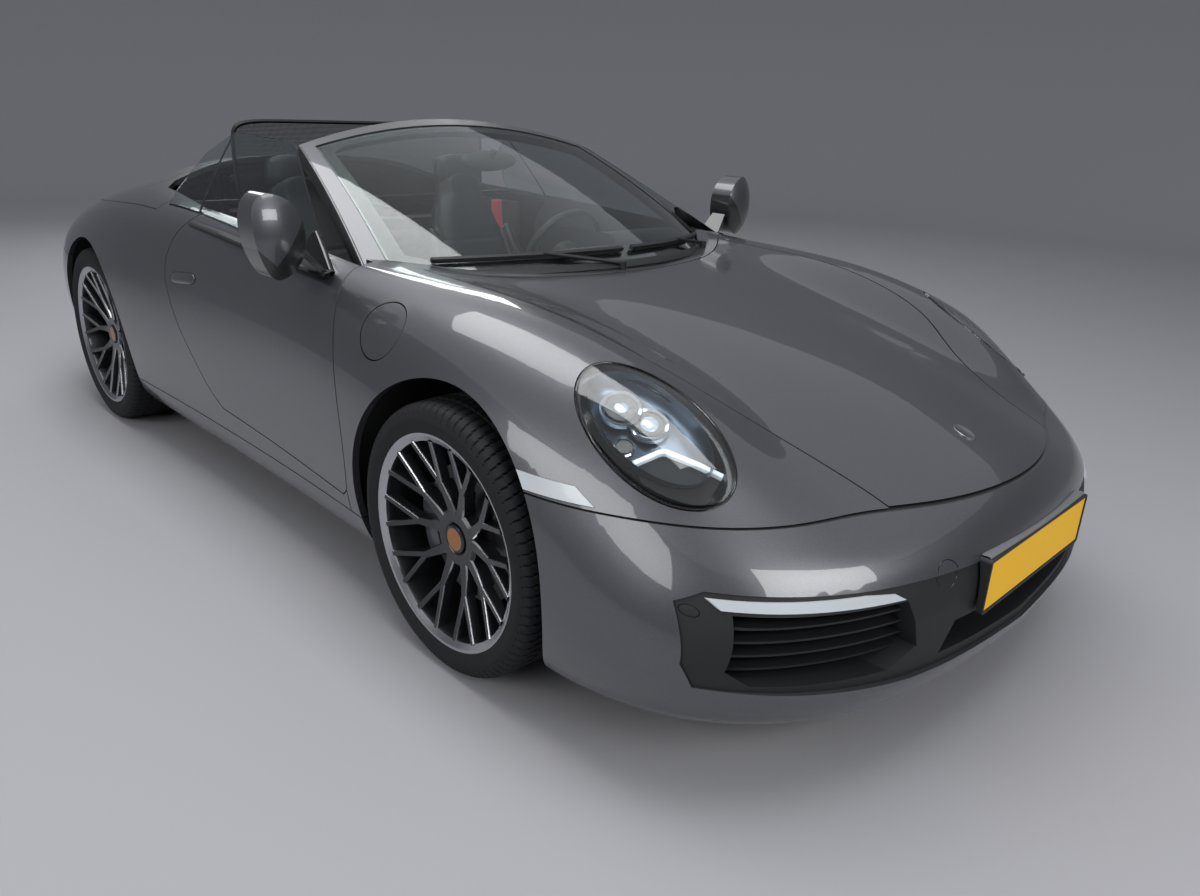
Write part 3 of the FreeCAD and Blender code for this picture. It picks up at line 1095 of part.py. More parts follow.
console = side_prism(side_profile([(-250, TUNNEL_TOP), (-260, 470), (-120, 500), (150, 470), (360, 560),
                                   (500, 700), (590, 720), (640, 600), (600, 420), (500, TUNNEL_TOP)]), -105, 105)
console = console.cut(box(-400, 900, -200, 200, 0, TUNNEL_TOP + RUNNING_GAP)).cut(box(536, 900, -200, 200, 560, 800))
selector = rod(V(210, 0, 470), V(190, 0, 590), 14).fuse(Part.makeSphere(24, V(188, 0, 596)))
parts["centre_console"] = console.fuse(selector)

WHEEL_CENTRE = V(250, SEAT_Y, 785)
WHEEL_RADIUS = 176.0
WHEEL_GRIP = 15.0
SLEEVE_RADIUS = 48.0
column_axis = V(math.cos(math.radians(24)), 0, -math.sin(math.radians(24)))
grip = Part.makeTorus(WHEEL_RADIUS, WHEEL_GRIP, WHEEL_CENTRE, column_axis)
boss = rod(WHEEL_CENTRE - column_axis * 12, WHEEL_CENTRE + column_axis * 70, 62)
arms = []
across = V(0, 1, 0)
upwards = across.cross(column_axis)
if upwards.z < 0:
    upwards = upwards * -1
for degrees in (0, 180, 270):
    reach = across * math.cos(math.radians(degrees)) + upwards * math.sin(math.radians(degrees))
    side = column_axis.cross(reach)
    flat = [WHEEL_CENTRE + reach * 40 + side * 26, WHEEL_CENTRE + reach * WHEEL_RADIUS + side * 16,
            WHEEL_CENTRE + reach * WHEEL_RADIUS - side * 16, WHEEL_CENTRE + reach * 40 - side * 26]
    arms.append(polygon([p + column_axis * 4 for p in flat]).extrude(column_axis * 14))
column_end = WHEEL_CENTRE + column_axis * 70
steering = grip.fuse([boss] + arms)
steering = steering.cut(rod(WHEEL_CENTRE + column_axis * 30, WHEEL_CENTRE + column_axis * 80, 22 + RUNNING_GAP))
parts["steering_wheel"] = steering
column = rod(WHEEL_CENTRE + column_axis * (30 + RUNNING_GAP), WHEEL_CENTRE + column_axis * 400, 22)
sleeve = rod(WHEEL_CENTRE + column_axis * (70 + RUNNING_GAP), WHEEL_CENTRE + column_axis * 380, SLEEVE_RADIUS)
sleeve = sleeve.fuse(rod(WHEEL_CENTRE + column_axis * 110 - V(0, 240, 0), WHEEL_CENTRE + column_axis * 110, 9))
sleeve = sleeve.fuse(rod(WHEEL_CENTRE + column_axis * 110 + V(0, 240, 0), WHEEL_CENTRE + column_axis * 110, 9))
sleeve_bore = rod(WHEEL_CENTRE + column_axis * 150, WHEEL_CENTRE + column_axis * 402, SLEEVE_RADIUS + RUNNING_GAP)
parts["dashboard"] = parts["dashboard"].cut(sleeve_bore)
controls = column.fuse(sleeve).Solids
for y, wide in ((SEAT_Y - 60, 60), (SEAT_Y - 175, 44)):
    pad = box(690, 702, y - wide / 2, y + wide / 2, 250, 330)
    arm = rod(V(700, y, 320), V(765, y, 560), 7)
    hanger = rod(V(762, y, 556), V(BULKHEAD_X - RUNNING_GAP, y, 556), 8)
    controls += pad.fuse([arm, hanger]).Solids
parts["driver_controls"] = Part.makeCompound(controls)

# Wind deflector: a frame across the car behind the front seats, with netting
DEFLECTOR_X = -520.0
DEFLECTOR_HALF_WIDTH = 560.0
DEFLECTOR_PIN_RADIUS = 6.0
DEFLECTOR_PIN_LEVEL = 946.0
outline = polygon([V(DEFLECTOR_X, -DEFLECTOR_HALF_WIDTH, 935), V(DEFLECTOR_X, DEFLECTOR_HALF_WIDTH, 935),
                   V(DEFLECTOR_X, DEFLECTOR_HALF_WIDTH, 1235), V(DEFLECTOR_X, -DEFLECTOR_HALF_WIDTH, 1235)])
rounded = outline.makeOffset2D(-40).makeOffset2D(40)
inside = rounded.makeOffset2D(-16)
frame_solid = rounded.cut(inside).extrude(V(16, 0, 0))
net = inside.makeOffset2D(4).extrude(V(3, 0, 0))
net.translate(V(6, 0, 0))
pin_inner = V(DEFLECTOR_X + 8, -DEFLECTOR_HALF_WIDTH + 20, DEFLECTOR_PIN_LEVEL)
pin = rod(pin_inner, pin_inner - V(0, 230, 0), DEFLECTOR_PIN_RADIUS)
pin = pin.common(plan_prism(grown(cabin_face, -RUNNING_GAP), 900, 1000))
parts["wind_deflector"] = frame_solid.fuse([net, pin, mirrored(pin)])

# Engine and gearbox block behind and above the rear axle, with the exhaust below the tail
engine = box(-1860, -1300, -330, 330, 270, 640).fuse(box(-1300, -960, -190, 190, 240, 480))
engine = engine.cut(box(-1600, -1436, -700, 700, 735, 800)).cut(rear_block.makeOffsetShape(2, 0.1))
mounts = box(-1760, -1700, -440 + RUNNING_GAP, 440 - RUNNING_GAP, 540, 590)
parts["engine"] = engine.fuse(mounts)
silencer = box(-2060, -1885, -480, 480, 240, 400)
silencer = silencer.makeFillet(50, [e for e in silencer.Edges if abs(e.tangentAt(e.FirstParameter).y) > 0.9])
tips = []
for y in (-560, -470):
    tips.append(rod(V(-2060, y * 0.9, 310), V(-2235, y, 300), 40).cut(rod(V(-2150, y * .95, 306), V(-2240, y, 300), 34)))
outlet = box(-2400, -2080, -622, -400, 244, 356)
outlet = outlet.makeFillet(40, [e for e in outlet.Edges if abs(e.tangentAt(e.FirstParameter).x) > 0.9])
parts["rear_bumper"] = parts["rear_bumper"].cut(both_sides(outlet))
hangers = box(-2000, -1960, -478, -446, 380, REAR_RAIL[0] - RUNNING_GAP)
parts["exhaust"] = silencer.fuse(tips + [mirrored(t) for t in tips] + [hangers, mirrored(hangers)])

# Lid vents over the engine
for i in range(-4, 5):
    slot = box(-1780, -1600, i * 44 - 12, i * 44 + 12, 700, 1100)
    parts["engine_lid"] = parts["engine_lid"].cut(slot)

# Headlamps: a bowl behind each lens with two lamp modules, a small lamp and a light bar
BOWL_DEPTH = 92.0
BOWL_WALL = 4.0
MODULE_BASE = 88.0


def lamp_frame():
    normal = V(LAMP_NORMAL).normalize()
    across = normal.cross(LAMP_LONG_DIRECTION).normalize()
    return normal, across, across.cross(normal)


lamp_normal, lamp_across, lamp_along = lamp_frame()


def in_lamp(along, across, depth):
    return LAMP_CENTRE + lamp_along * along + lamp_across * across - lamp_normal * depth


bowl_top = body_solid(inset_rows(rows, LENS_THICKNESS + RUNNING_GAP), 0.02)
bowl = lamp_prism(-0.5, 120, -BOWL_DEPTH).cut(lamp_prism(-0.5 - BOWL_WALL, 121, -BOWL_DEPTH + BOWL_WALL))
bowl = bowl.common(bowl_top)
bowl = bowl.cut(wheel_cylinder(FRONT_AXLE_X, FRONT_TYRE_RADIUS, LINER_RADIUS + 2, -1000, -400))
modules = []
for along, across, radius, ring, depth in ((-105, 12, 34, 44, 42), (-42, 36, 30, 40, 50), (-30, -44, 16, 20, 50)):
    body = rod(in_lamp(along, across, MODULE_BASE + 2), in_lamp(along, across, depth), radius)
    flange = rod(in_lamp(along, across, depth + 14), in_lamp(along, across, depth + 4), ring)
    modules.append(body.fuse(flange))
light_bar = polygon([in_lamp(22, -52, MODULE_BASE + 2), in_lamp(34, 6, MODULE_BASE + 2), in_lamp(150, 60, MODULE_BASE + 2),
                     in_lamp(152, 52, MODULE_BASE + 2), in_lamp(42, -2, MODULE_BASE + 2), in_lamp(30, -56, MODULE_BASE + 2)])
modules.append(light_bar.extrude(lamp_normal * 20))
headlamp = bowl.fuse([m.common(lamp_prism(-2, 120, -BOWL_DEPTH)).common(bowl_top) for m in modules])
parts["headlamps"] = both_sides(headlamp)

# Door mirrors: a domed housing over a flat back, on a foot that stands on the door
MIRROR_CENTRE = (-942.0, 980.0)
MIRROR_BACK_X = 548.0
MIRROR_GLASS_SHARE = 0.92
MIRROR_OUTLINE = [(-962, 1084), (-897, 1048), (-877, 1005), (-874, 960), (-890, 908), (-955, 868), (-988, 905),
                  (-1008, 965), (-1011, 1016), (-1000, 1060)]
MIRROR_DOME = (96.0, 112.0, 150.0)


def ellipsoid(centre, half_x, half_y, half_z):
    stretch = FreeCAD.Matrix()
    stretch.scale(half_x, half_y, half_z)
    body = Part.makeSphere(1).transformGeometry(stretch)
    body.translate(centre)
    return body


def mirror_face(share):
    """The housing's outline at its back, shrunk to a share of its size."""
    middle_y, middle_z = MIRROR_CENTRE
    curve = Part.BSplineCurve()
    curve.interpolate([V(MIRROR_BACK_X, middle_y + (y - middle_y) * share, middle_z + (z - middle_z) * share)
                       for y, z in MIRROR_OUTLINE], PeriodicFlag=True)
    return Part.Face(Part.Wire(curve.toShape()))


dome = ellipsoid(V(MIRROR_BACK_X + 12, *MIRROR_CENTRE), *MIRROR_DOME)
mirror_body = mirror_face(1.0).extrude(V(200, 0, 0)).common(dome)
mirror_body = mirror_body.cut(mirror_face(MIRROR_GLASS_SHARE).extrude(V(5, 0, 0)))
foot_low = polygon([V(560, -835, 870), V(632, -830, 870), V(640, -812, 870), V(556, -800, 870)])
foot_high = polygon([V(566, -912, 950), V(618, -908, 950), V(620, -880, 950), V(562, -880, 950)])
foot = Part.makeLoft([foot_low.OuterWire, foot_high.OuterWire], True)
foot = foot.cut(outset)
parts["mirror_right"] = mirror_body.fuse(foot)
parts["mirror_left"] = mirrored(parts["mirror_right"])

# Mirror inside the windscreen
inside_mirror = ellipsoid(V(268, 0, 1128), 24, 118, 34)
inside_mirror = inside_mirror.cut(box(200, 256, -200, 200, 1000, 1300))
stalk = rod(V(276, 0, 1130), V(322, 0, 1210), 11).cut(screen_slab(-0.05, 1.06, 1.085, 60, -GLASS - RUNNING_GAP))
parts["interior_mirror"] = inside_mirror.fuse(stalk.Solids[0])

# Wipers: each blade follows the glass, its arm turns on a post in the cowl
wipers = []
for low_y, high_y, post_y in ((40, 600, 470), (-560, 0, -60)):
    blade = screen_slab(0.05, 0.064, 1.0, 16, 3).common(box(0, 1200, low_y, high_y, 700, 1300))
    middle = screen_point(0.057, (low_y + high_y) / 2 / SCREEN_FOOT[1][1]) + SCREEN_NORMAL * 16
    post_x = screen_point(0.0, post_y / SCREEN_FOOT[1][1]).x + 22
    post_z = top_level(post_x, post_y)
    post = Part.makeCylinder(11, 26, V(post_x, post_y, post_z - 4)).cut(outset)
    arm = rod(V(post_x, post_y, post_z + 17), middle, 5.5)
    wipers += blade.fuse([arm, post]).Solids
parts["wipers"] = Part.makeCompound(wipers)

# Number plate on its holder
PLATE_SIZE = (520.0, 112.0)
PLATE_BOTTOM = 365.0
PLATE_FRONT_X = FRONT_AXLE_X + 1011.0
PLATE_THICKNESS = 2.0
HOLDER_MARGIN = 8.0
holder = box(2120, PLATE_FRONT_X, -PLATE_SIZE[0] / 2 - HOLDER_MARGIN, PLATE_SIZE[0] / 2 + HOLDER_MARGIN,
             PLATE_BOTTOM - HOLDER_MARGIN, PLATE_BOTTOM + PLATE_SIZE[1] + HOLDER_MARGIN)
holder = holder.makeFillet(10, [e for e in holder.Edges if abs(e.tangentAt(e.FirstParameter).x) > 0.9])
plate = box(PLATE_FRONT_X - PLATE_THICKNESS - 2, PLATE_FRONT_X - 2, -PLATE_SIZE[0] / 2, PLATE_SIZE[0] / 2,
            PLATE_BOTTOM, PLATE_BOTTOM + PLATE_SIZE[1])
plate_room = box(PLATE_FRONT_X - PLATE_THICKNESS - 2 - RUNNING_GAP, PLATE_FRONT_X + 1,
                 -PLATE_SIZE[0] / 2 - 1, PLATE_SIZE[0] / 2 + 1, PLATE_BOTTOM - 1, PLATE_BOTTOM + PLATE_SIZE[1] + 1)
parts["plate_holder"] = holder.cut(plate_room).cut(outset)
parts["number_plate"] = plate
parts["marker_lamps"] = Part.makeCompound(parts["marker_lamps"].Solids + strips)

parts["door_left"] = mirrored(parts["door_right"])

os.makedirs("parts", exist_ok=True)
for name, shape in parts.items():
    shape.exportStep("parts/" + name + ".step")
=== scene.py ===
import math

import bmesh
import bpy
import numpy as np
from mathutils import Matrix, Vector


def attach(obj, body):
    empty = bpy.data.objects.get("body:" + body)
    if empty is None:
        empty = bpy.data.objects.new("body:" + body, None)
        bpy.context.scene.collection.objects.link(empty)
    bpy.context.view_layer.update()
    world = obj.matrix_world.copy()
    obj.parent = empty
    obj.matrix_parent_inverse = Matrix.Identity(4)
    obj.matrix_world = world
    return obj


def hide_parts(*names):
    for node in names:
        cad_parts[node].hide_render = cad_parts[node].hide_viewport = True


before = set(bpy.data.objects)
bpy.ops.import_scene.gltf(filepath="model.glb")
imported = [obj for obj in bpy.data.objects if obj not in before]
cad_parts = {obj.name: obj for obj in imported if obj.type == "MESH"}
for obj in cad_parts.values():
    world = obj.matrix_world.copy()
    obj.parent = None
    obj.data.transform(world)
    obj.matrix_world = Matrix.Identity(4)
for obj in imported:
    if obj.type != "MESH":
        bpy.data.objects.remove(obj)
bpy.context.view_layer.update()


# Painted panels: pressed steel and aluminium with a dark grey metallic base coat under clear lacquer.
# The flakes are finer than a pixel, so they are drawn 1.5 mm wide to show as a faint sparkle, and
# the lacquer gives the long sharp reflections.
def linear(colour):
    """Linear RGBA of an sRGB hex colour: each channel over 12.92 when dark, else to the power 2.4."""
    channels = [int(colour[i:i + 2], 16) / 255 for i in (1, 3, 5)]
    return [c / 12.92 if c <= 0.04045 else ((c + 0.055) / 1.055) ** 2.4 for c in channels] + [1.0]


def add(tree, kind, inputs, **settings):
    """A new node: settings are its properties, inputs are values or the sockets to link from."""
    node = tree.nodes.new(kind)
    for name, value in settings.items():
        setattr(node, name, value)
    for name, value in inputs.items():
        if isinstance(value, bpy.types.NodeSocket):
            tree.links.new(value, node.inputs[name])
        else:
            node.inputs[name].default_value = value
    return node


def material(name, colour, **sockets):
    """A Principled material of that name; sockets are set plainly, with _ for each space."""
    made = bpy.data.materials.new(name)
    made.use_nodes = True
    surface = made.node_tree.nodes["Principled BSDF"]
    surface.inputs["Base Color"].default_value = linear(colour)
    for socket, value in sockets.items():
        surface.inputs[socket.replace("_", " ")].default_value = value
    return made


def surface_of(made):
    """The material's tree, its Principled node and its Object coordinates."""
    tree = made.node_tree
    place = add(tree, "ShaderNodeTexCoord", {})
    return tree, tree.nodes["Principled BSDF"], place.outputs["Object"]


def grain(made, millimetres, depth):
    """Fine relief on a material: noise with that width of grain, pressed to that depth."""
    tree, surface, place = surface_of(made)
    noise = add(tree, "ShaderNodeTexNoise", {"Vector": place, "Scale": 1000 / millimetres, "Detail": 3.0})
    bump = add(tree, "ShaderNodeBump",
               {"Height": noise.outputs["Fac"], "Distance": depth / 1000, "Strength": 1.0})
    tree.links.new(bump.outputs["Normal"], surface.inputs["Normal"])
    return made


def dress(made, *names):
    """Give CAD nodes this material."""
    for name in names:
        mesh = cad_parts[name].data
        mesh.materials.clear()
        mesh.materials.append(made)


PAINT = "#5b5c60"
LACQUERED = {"Metallic": 0.72, "Roughness": 0.36, "Coat_Weight": 1.0, "Coat_Roughness": 0.03}
FLAKE = 1.5
paint = material("grey metallic paint under clear lacquer", PAINT, **LACQUERED)
tree, surface, place = surface_of(paint)
flakes = add(tree, "ShaderNodeTexVoronoi", {"Vector": place, "Scale": 1000 / FLAKE})
speck = add(tree, "ShaderNodeMapRange", {"Value": flakes.outputs["Color"], "To Min": 0.90, "To Max": 1.10})
tone = add(tree, "ShaderNodeVectorMath", {0: linear(PAINT)[:3], 1: speck.outputs["Result"]},
           operation="MULTIPLY")
tree.links.new(tone.outputs["Vector"], surface.inputs["Base Color"])
dress(paint, "bonnet", "cowl", "top_cover", "engine_lid", "door_right", "door_left", "filler_flap",
      "front_bumper", "sills", "rear_bumper", "front_wings", "rear_quarters", "windscreen_frame", "deck_rim")
# The solid parts that show bare steel where a panel is open.
primer = grain(material("black electrocoat on pressed steel", "#1b1c1e", Roughness=0.55), 2.0, 0.02)
dress(primer, "front_body", "rear_body", "front_subframe", "rear_suspension")


# Tyres: black vulcanised rubber with four grooves round the tread, slanting blocks between them and
# fine rings and ribs moulded on the side walls. Each grips its rim and turns with it.
SIDES = ((-1, "right"), (1, "left"))


def circle(count):
    """The angles of that many points evenly round a circle."""
    return np.linspace(0, 2 * np.pi, count, endpoint=False)


def flowing(points, count):
    """Catmull-Rom curve: each span is the cubic that passes its ends with its neighbours' slopes."""
    keys = np.asarray(points, float)
    keys = np.vstack([2 * keys[0] - keys[1], keys, 2 * keys[-1] - keys[-2]])
    along = np.linspace(0, len(keys) - 3, count)
    span = np.minimum(along.astype(int), len(keys) - 4)
    t = (along - span)[:, None]
    a, b, c, d = keys[span], keys[span + 1], keys[span + 2], keys[span + 3]
    return 0.5 * (2 * b + (c - a) * t + (2 * a - 5 * b + 4 * c - d) * t ** 2
                  + (3 * b - a - 3 * c + d) * t ** 3)


def patch(grid, wrap_rows=False, wrap_columns=False):
    """Points of a grid and its quads; wrapping joins the last row or column to the first."""
    rows, columns = grid.shape[:2]
    index = np.arange(rows * columns).reshape(rows, columns)
    if wrap_rows:
        index = np.vstack([index, index[:1]])
    if wrap_columns:
        index = np.hstack([index, index[:, :1]])
    quads = np.stack([index[:-1, :-1], index[1:, :-1], index[1:, 1:], index[:-1, 1:]], -1)
    return grid.reshape(-1, 3), quads.reshape(-1, 4)


def ringed(rings):
    """Closed rings, one after the other, as one patch."""
    return patch(np.stack(rings), False, True)


def ribbed(rows):
    """Long open rows that close round their section, as one patch."""
    return patch(np.stack(rows), True)


def piece(name, patches, finish, body, edge=35, marks=None):
    """One mesh of all patches: doubles merged, faces outwards, edges sharper than edge degrees kept.
    marks is a material index for each patch where finish is a list."""
    starts = np.cumsum([0] + [len(points) for points, _ in patches])
    points = np.concatenate([points for points, _ in patches])
    quads = np.concatenate([quads + start for (_, quads), start in zip(patches, starts)])
    mesh = bpy.data.meshes.new(name)
    mesh.from_pydata(points.tolist(), [], quads.tolist())
    finishes = finish if isinstance(finish, list) else [finish]
    for each in finishes:
        mesh.materials.append(each)
    if marks is not None:
        spread = np.repeat(marks, [len(quads) for _, quads in patches]).astype(np.int32)
        mesh.polygons.foreach_set("material_index", spread)
    shape = bmesh.new()
    shape.from_mesh(mesh)
    bmesh.ops.remove_doubles(shape, verts=shape.verts, dist=2e-6)
    bmesh.ops.recalc_face_normals(shape, faces=shape.faces)
    shape.to_mesh(mesh)
    shape.free()
    mesh.shade_smooth()
    mesh.set_sharp_from_angle(angle=math.radians(edge))
    made = bpy.data.objects.new(name, mesh)
    bpy.context.scene.collection.objects.link(made)
    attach(made, body)
    return made


rubber = grain(material("black tyre rubber", "#17181a", Roughness=0.72, Specular_IOR_Level=0.35), 3.0, 0.03)
# Each axle's place along the car, half its track, the tyre's radius and width, and the bead's radius.
WHEELS = {"front": (1.2544, 0.7945, 0.3395, 0.245, 0.254), "rear": (-1.1956, 0.765, 0.358, 0.285, 0.2667)}
RIM_INSET = 0.008
SHOULDER = 0.030
CROWN_DROP = 0.0026
TREAD_EDGE = 0.0265
TREAD_BLOCKS = 84
BLOCK_STEPS = 8
TREAD_DEPTH = 0.007
GROOVE_EDGES = np.array([0.97, 0.90, 0.64, 0.635, 0.52, 0.515, 0.16, 0.155, 0.04, 0.035])
GROOVE_FLOORS = [3, 4, 7, 8]
RIB_START = 0.03
RIB_PITCH, RIB_HEIGHT = 0.008, 0.0006
for end, (axle_x, track_half, radius, width, bead) in WHEELS.items():
    half = width / 2
    lip = half - RIM_INSET
    crown = half - SHOULDER
    wall = flowing([(lip - 0.0145, bead + 0.0003), (lip - 0.0085, bead + 0.0153),
                    (lip + 0.0006, bead + 0.0163), (half - 0.0012, bead + 0.036),
                    (half, (radius + bead) / 2 + 0.004), (half - 0.004, radius - 0.026),
                    (half - 0.012, radius - 0.011), (crown, radius - CROWN_DROP)], 26)
    across = GROOVE_EDGES * crown
    tread = np.stack([across, radius - CROWN_DROP * (across / crown) ** 2], -1)
    outer = np.vstack([wall, tread])
    outer = np.vstack([outer, outer[::-1] * (-1, 1)])
    inner = flowing([(-lip + 0.0125, bead + 0.0003), (-lip + 0.012, bead + 0.03),
                     (-half + 0.014, radius - 0.05), (0, radius - 0.017), (half - 0.014, radius - 0.05),
                     (lip - 0.012, bead + 0.03)], 12)
    profile = np.vstack([outer, inner])
    angles = circle(TREAD_BLOCKS * BLOCK_STEPS)
    y, r = profile[:, 0][:, None], profile[:, 1][:, None]
    outside = (np.arange(len(profile)) < len(outer))[:, None]
    ring_groove = np.isin(np.round(np.abs(y), 6), np.round(across[GROOVE_FLOORS], 6))
    lean = np.round(np.abs(y) / half * 9).astype(int)
    slot = ((np.arange(len(angles)) + lean) % BLOCK_STEPS == 0) & (np.abs(y) > across[8])
    cut = np.where(outside & (r > radius - TREAD_EDGE) & (ring_groove | slot), TREAD_DEPTH, 0.0)
    on_wall = outside & (r < radius - TREAD_EDGE) & (r > bead + RIB_START)
    rib = np.where(on_wall, RIB_HEIGHT * np.sin(np.pi * (r - bead - RIB_START) / RIB_PITCH) ** 2, 0.0)
    deep = r - cut
    for side, name in SIDES:
        grid = np.stack([axle_x + deep * np.cos(angles),
                         side * (track_half + y - np.sign(y) * rib) + 0 * deep,
                         radius + deep * np.sin(angles)], -1)
        tyre = piece("tyre_with_tread_%s_%s" % (end, name), [patch(grid, True, True)], rubber,
                     "wheel_%s_%s" % (end, name), 32)
        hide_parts("tyre_%s_%s" % (end, name))

# Wheels: one-piece cast aluminium, lacquered dark grey. The edges of the spokes and the lip are
# turned bright, and a plain domed cap closes the hub between five bolts.
wheel_grey = material("dark grey lacquered cast aluminium", "#2f3033", Metallic=0.6, Roughness=0.32,
                      Coat_Weight=0.6, Coat_Roughness=0.08)
bright = material("turned aluminium under clear lacquer", "#b9babd", Metallic=1.0, Roughness=0.24)
cap_finish = material("amber enamelled cap", "#a8672a", Metallic=0.5, Roughness=0.35, Coat_Weight=0.7)
steel = material("zinc-plated steel", "#8d8f92", Metallic=1.0, Roughness=0.35)
CAST, TURNED, ZINCED, ENAMELLED = range(4)
HUB_RADIUS = 0.074
BORE = 0.038
BOLT_CIRCLE = 0.054
SPOKE_PAIRS = 5
RING_STEPS = 120


def beam(start, end, wide, slim, front, deep, chamfer):
    """A spoke as strips, each with its material: a flat-topped section, narrowing from wide to slim, on
    the straight line between two (radius, degrees); front gives its face's level from the radius."""
    ends = [r * np.array([math.cos(math.radians(a)), math.sin(math.radians(a))]) for r, a in (start, end)]
    along = np.linspace(0, 1, 7)[:, None]
    line = ends[0] * (1 - along) + ends[1] * along
    course = (ends[1] - ends[0]) / np.linalg.norm(ends[1] - ends[0])
    normal = np.array([-course[1], course[0]])
    halves = (wide * (1 - along) + slim * along) / 2
    level = front(np.linalg.norm(line, axis=1))[:, None]
    corners = [(1.12, deep), (1.0, chamfer), (0.80, 0.0), (-0.80, 0.0), (-1.0, chamfer), (-1.12, deep)]
    edges = [np.hstack([line + normal * halves * k, level - d]) for k, d in corners + corners[:1]]
    finishes = (CAST, TURNED, CAST, TURNED, CAST, CAST)
    return [(np.stack([near, far], 1), finish) for near, far, finish in zip(edges, edges[1:], finishes)]


def ring_of(profile, angles):
    """(outward, radius) points carried round the axis, as (forward, up, outward) of the wheel."""
    profile = np.asarray(profile, float)
    out, radius = profile[:, 0][:, None], profile[:, 1][:, None]
    return np.stack([radius * np.cos(angles), radius * np.sin(angles), out + 0 * angles], -1)


around = circle(RING_STEPS)
for end, (axle_x, track_half, radius, width, bead) in WHEELS.items():
    half = width / 2 - RIM_INSET
    lip = bead + 0.015
    spoke_end = bead - 0.004
    hub_front = half - 0.046
    hub_back = hub_front - 0.036

    def face_level(r):
        """Outward level of the spokes' face: from the hub to the lip in a shallow bowl."""
        share = np.clip((r - HUB_RADIUS) / (spoke_end - HUB_RADIUS), 0, 1)
        return hub_front + (half - 0.006 - hub_front) * share ** 1.25

    flange = [(half, lip - 0.0005), (half, lip - 0.004), (half - 0.002, lip - 0.0075),
              (half - 0.010, bead - 0.006)]
    barrel = [(half - 0.010, bead - 0.006), (half - 0.018, bead - 0.0085), (0.02, bead - 0.0095),
              (-half + 0.006, bead - 0.009), (-half, bead - 0.004), (-half, lip - 0.001),
              (-half + 0.007, lip), (-half + 0.012, bead), (half - 0.014, bead), (half - 0.008, lip),
              (half, lip - 0.0005)]
    hub = [(hub_back, HUB_RADIUS), (hub_front - 0.006, HUB_RADIUS), (hub_front, HUB_RADIUS - 0.008),
           (hub_front - 0.001, BORE + 0.004), (hub_front - 0.004, BORE), (hub_back, BORE),
           (hub_back, HUB_RADIUS)]
    shapes = [ringed(ring_of(profile, around)) for profile in (flange, barrel, hub)]
    kinds = [TURNED, CAST, CAST]
    fork = spoke_end * 0.58
    for pair in range(SPOKE_PAIRS):
        middle = 90 + pair * 360 / SPOKE_PAIRS
        for hand in (-1, 1):
            knee = middle + hand * 18
            strips = beam((HUB_RADIUS - 0.012, middle + hand * 12), (fork, knee), 0.030, 0.019, face_level,
                          0.034, 0.004)
            for branch in (-1, 1):
                strips += beam((fork - 0.004, knee + branch * 0.6), (bead - 0.005, knee + branch * 9), 0.0165,
                               0.014, face_level, 0.026, 0.0035)
            shapes += [patch(grid) for grid, _ in strips]
            kinds += [finish for _, finish in strips]
    for bolt in range(SPOKE_PAIRS):
        turn = math.radians(54 + 360 / SPOKE_PAIRS * bolt)
        head = ring_of([(hub_front - 0.012, 0.0), (hub_front - 0.012, 0.0095), (hub_front - 0.026, 0.0105)],
                       around[::5])
        shapes.append(ringed(head + BOLT_CIRCLE * np.array([math.cos(turn), math.sin(turn), 0])))
        kinds.append(ZINCED)
    cap_rim = [(-0.006, 0.036), (0.001, 0.035), (0.0035, 0.031), (0.004, 0.028)]
    cap_middle = [(0.004, 0.028), (0.0035, 0.026), (0.0045, 0.016), (0.005, 0.0)]
    for profile, finish in ((cap_rim, CAST), (cap_middle, ENAMELLED)):
        shapes.append(ringed(ring_of(np.array(profile) + (hub_front, 0), around)))
        kinds.append(finish)
    for side, name in SIDES:
        placed = [(points[:, [0, 2, 1]] * (1, side, 1) + (axle_x, side * track_half, radius), quads)
                  for points, quads in shapes]
        rim = piece("wheel_casting_%s_%s" % (end, name), placed, [wheel_grey, bright, steel, cap_finish],
                    "wheel_%s_%s" % (end, name), 30, np.array(kinds))
        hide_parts("rim_%s_%s" % (end, name))


# Windscreen and side windows: laminated and toughened glass with a faint green-grey tint. A black
# ceramic border is fired on the windscreen's inner face, and rubber seals fill the gap round it.
def glass(name, tint):
    """Clear glass that bends light, with a plain see-through stand-in for rays from the lamps."""
    made = material(name, tint, Roughness=0.0, Transmission_Weight=1.0, IOR=1.5)
    tree = made.node_tree
    path = add(tree, "ShaderNodeLightPath", {})
    open_way = add(tree, "ShaderNodeBsdfTransparent", {"Color": linear(tint)})
    mix = add(tree, "ShaderNodeMixShader",
              {0: path.outputs["Is Shadow Ray"], 1: tree.nodes["Principled BSDF"].outputs[0],
               2: open_way.outputs[0]})
    tree.links.new(mix.outputs[0], tree.nodes["Material Output"].inputs["Surface"])
    return made


dress(glass("laminated windscreen glass", "#dfe8e6"), "windscreen")
dress(glass("toughened side glass", "#d5dfdd"), "door_glass_right", "door_glass_left", "quarter_glass")
ceramic = material("black fired ceramic border", "#0b0c0d", Roughness=0.25)
seal_rubber = material("black moulded rubber seal", "#101112", Roughness=0.6)
gloss_black = material("gloss black moulded plastic", "#0a0b0c", Roughness=0.12, Coat_Weight=0.5)
black_plastic = grain(material("grained black moulded plastic", "#191a1c", Roughness=0.58), 1.2, 0.03)

# The screen is drawn where the body's sections stand, 0.6 mm behind their stations.
SCREEN_NORMAL = np.array([0.40, 0, 0.917])
SHIFT = -0.0006


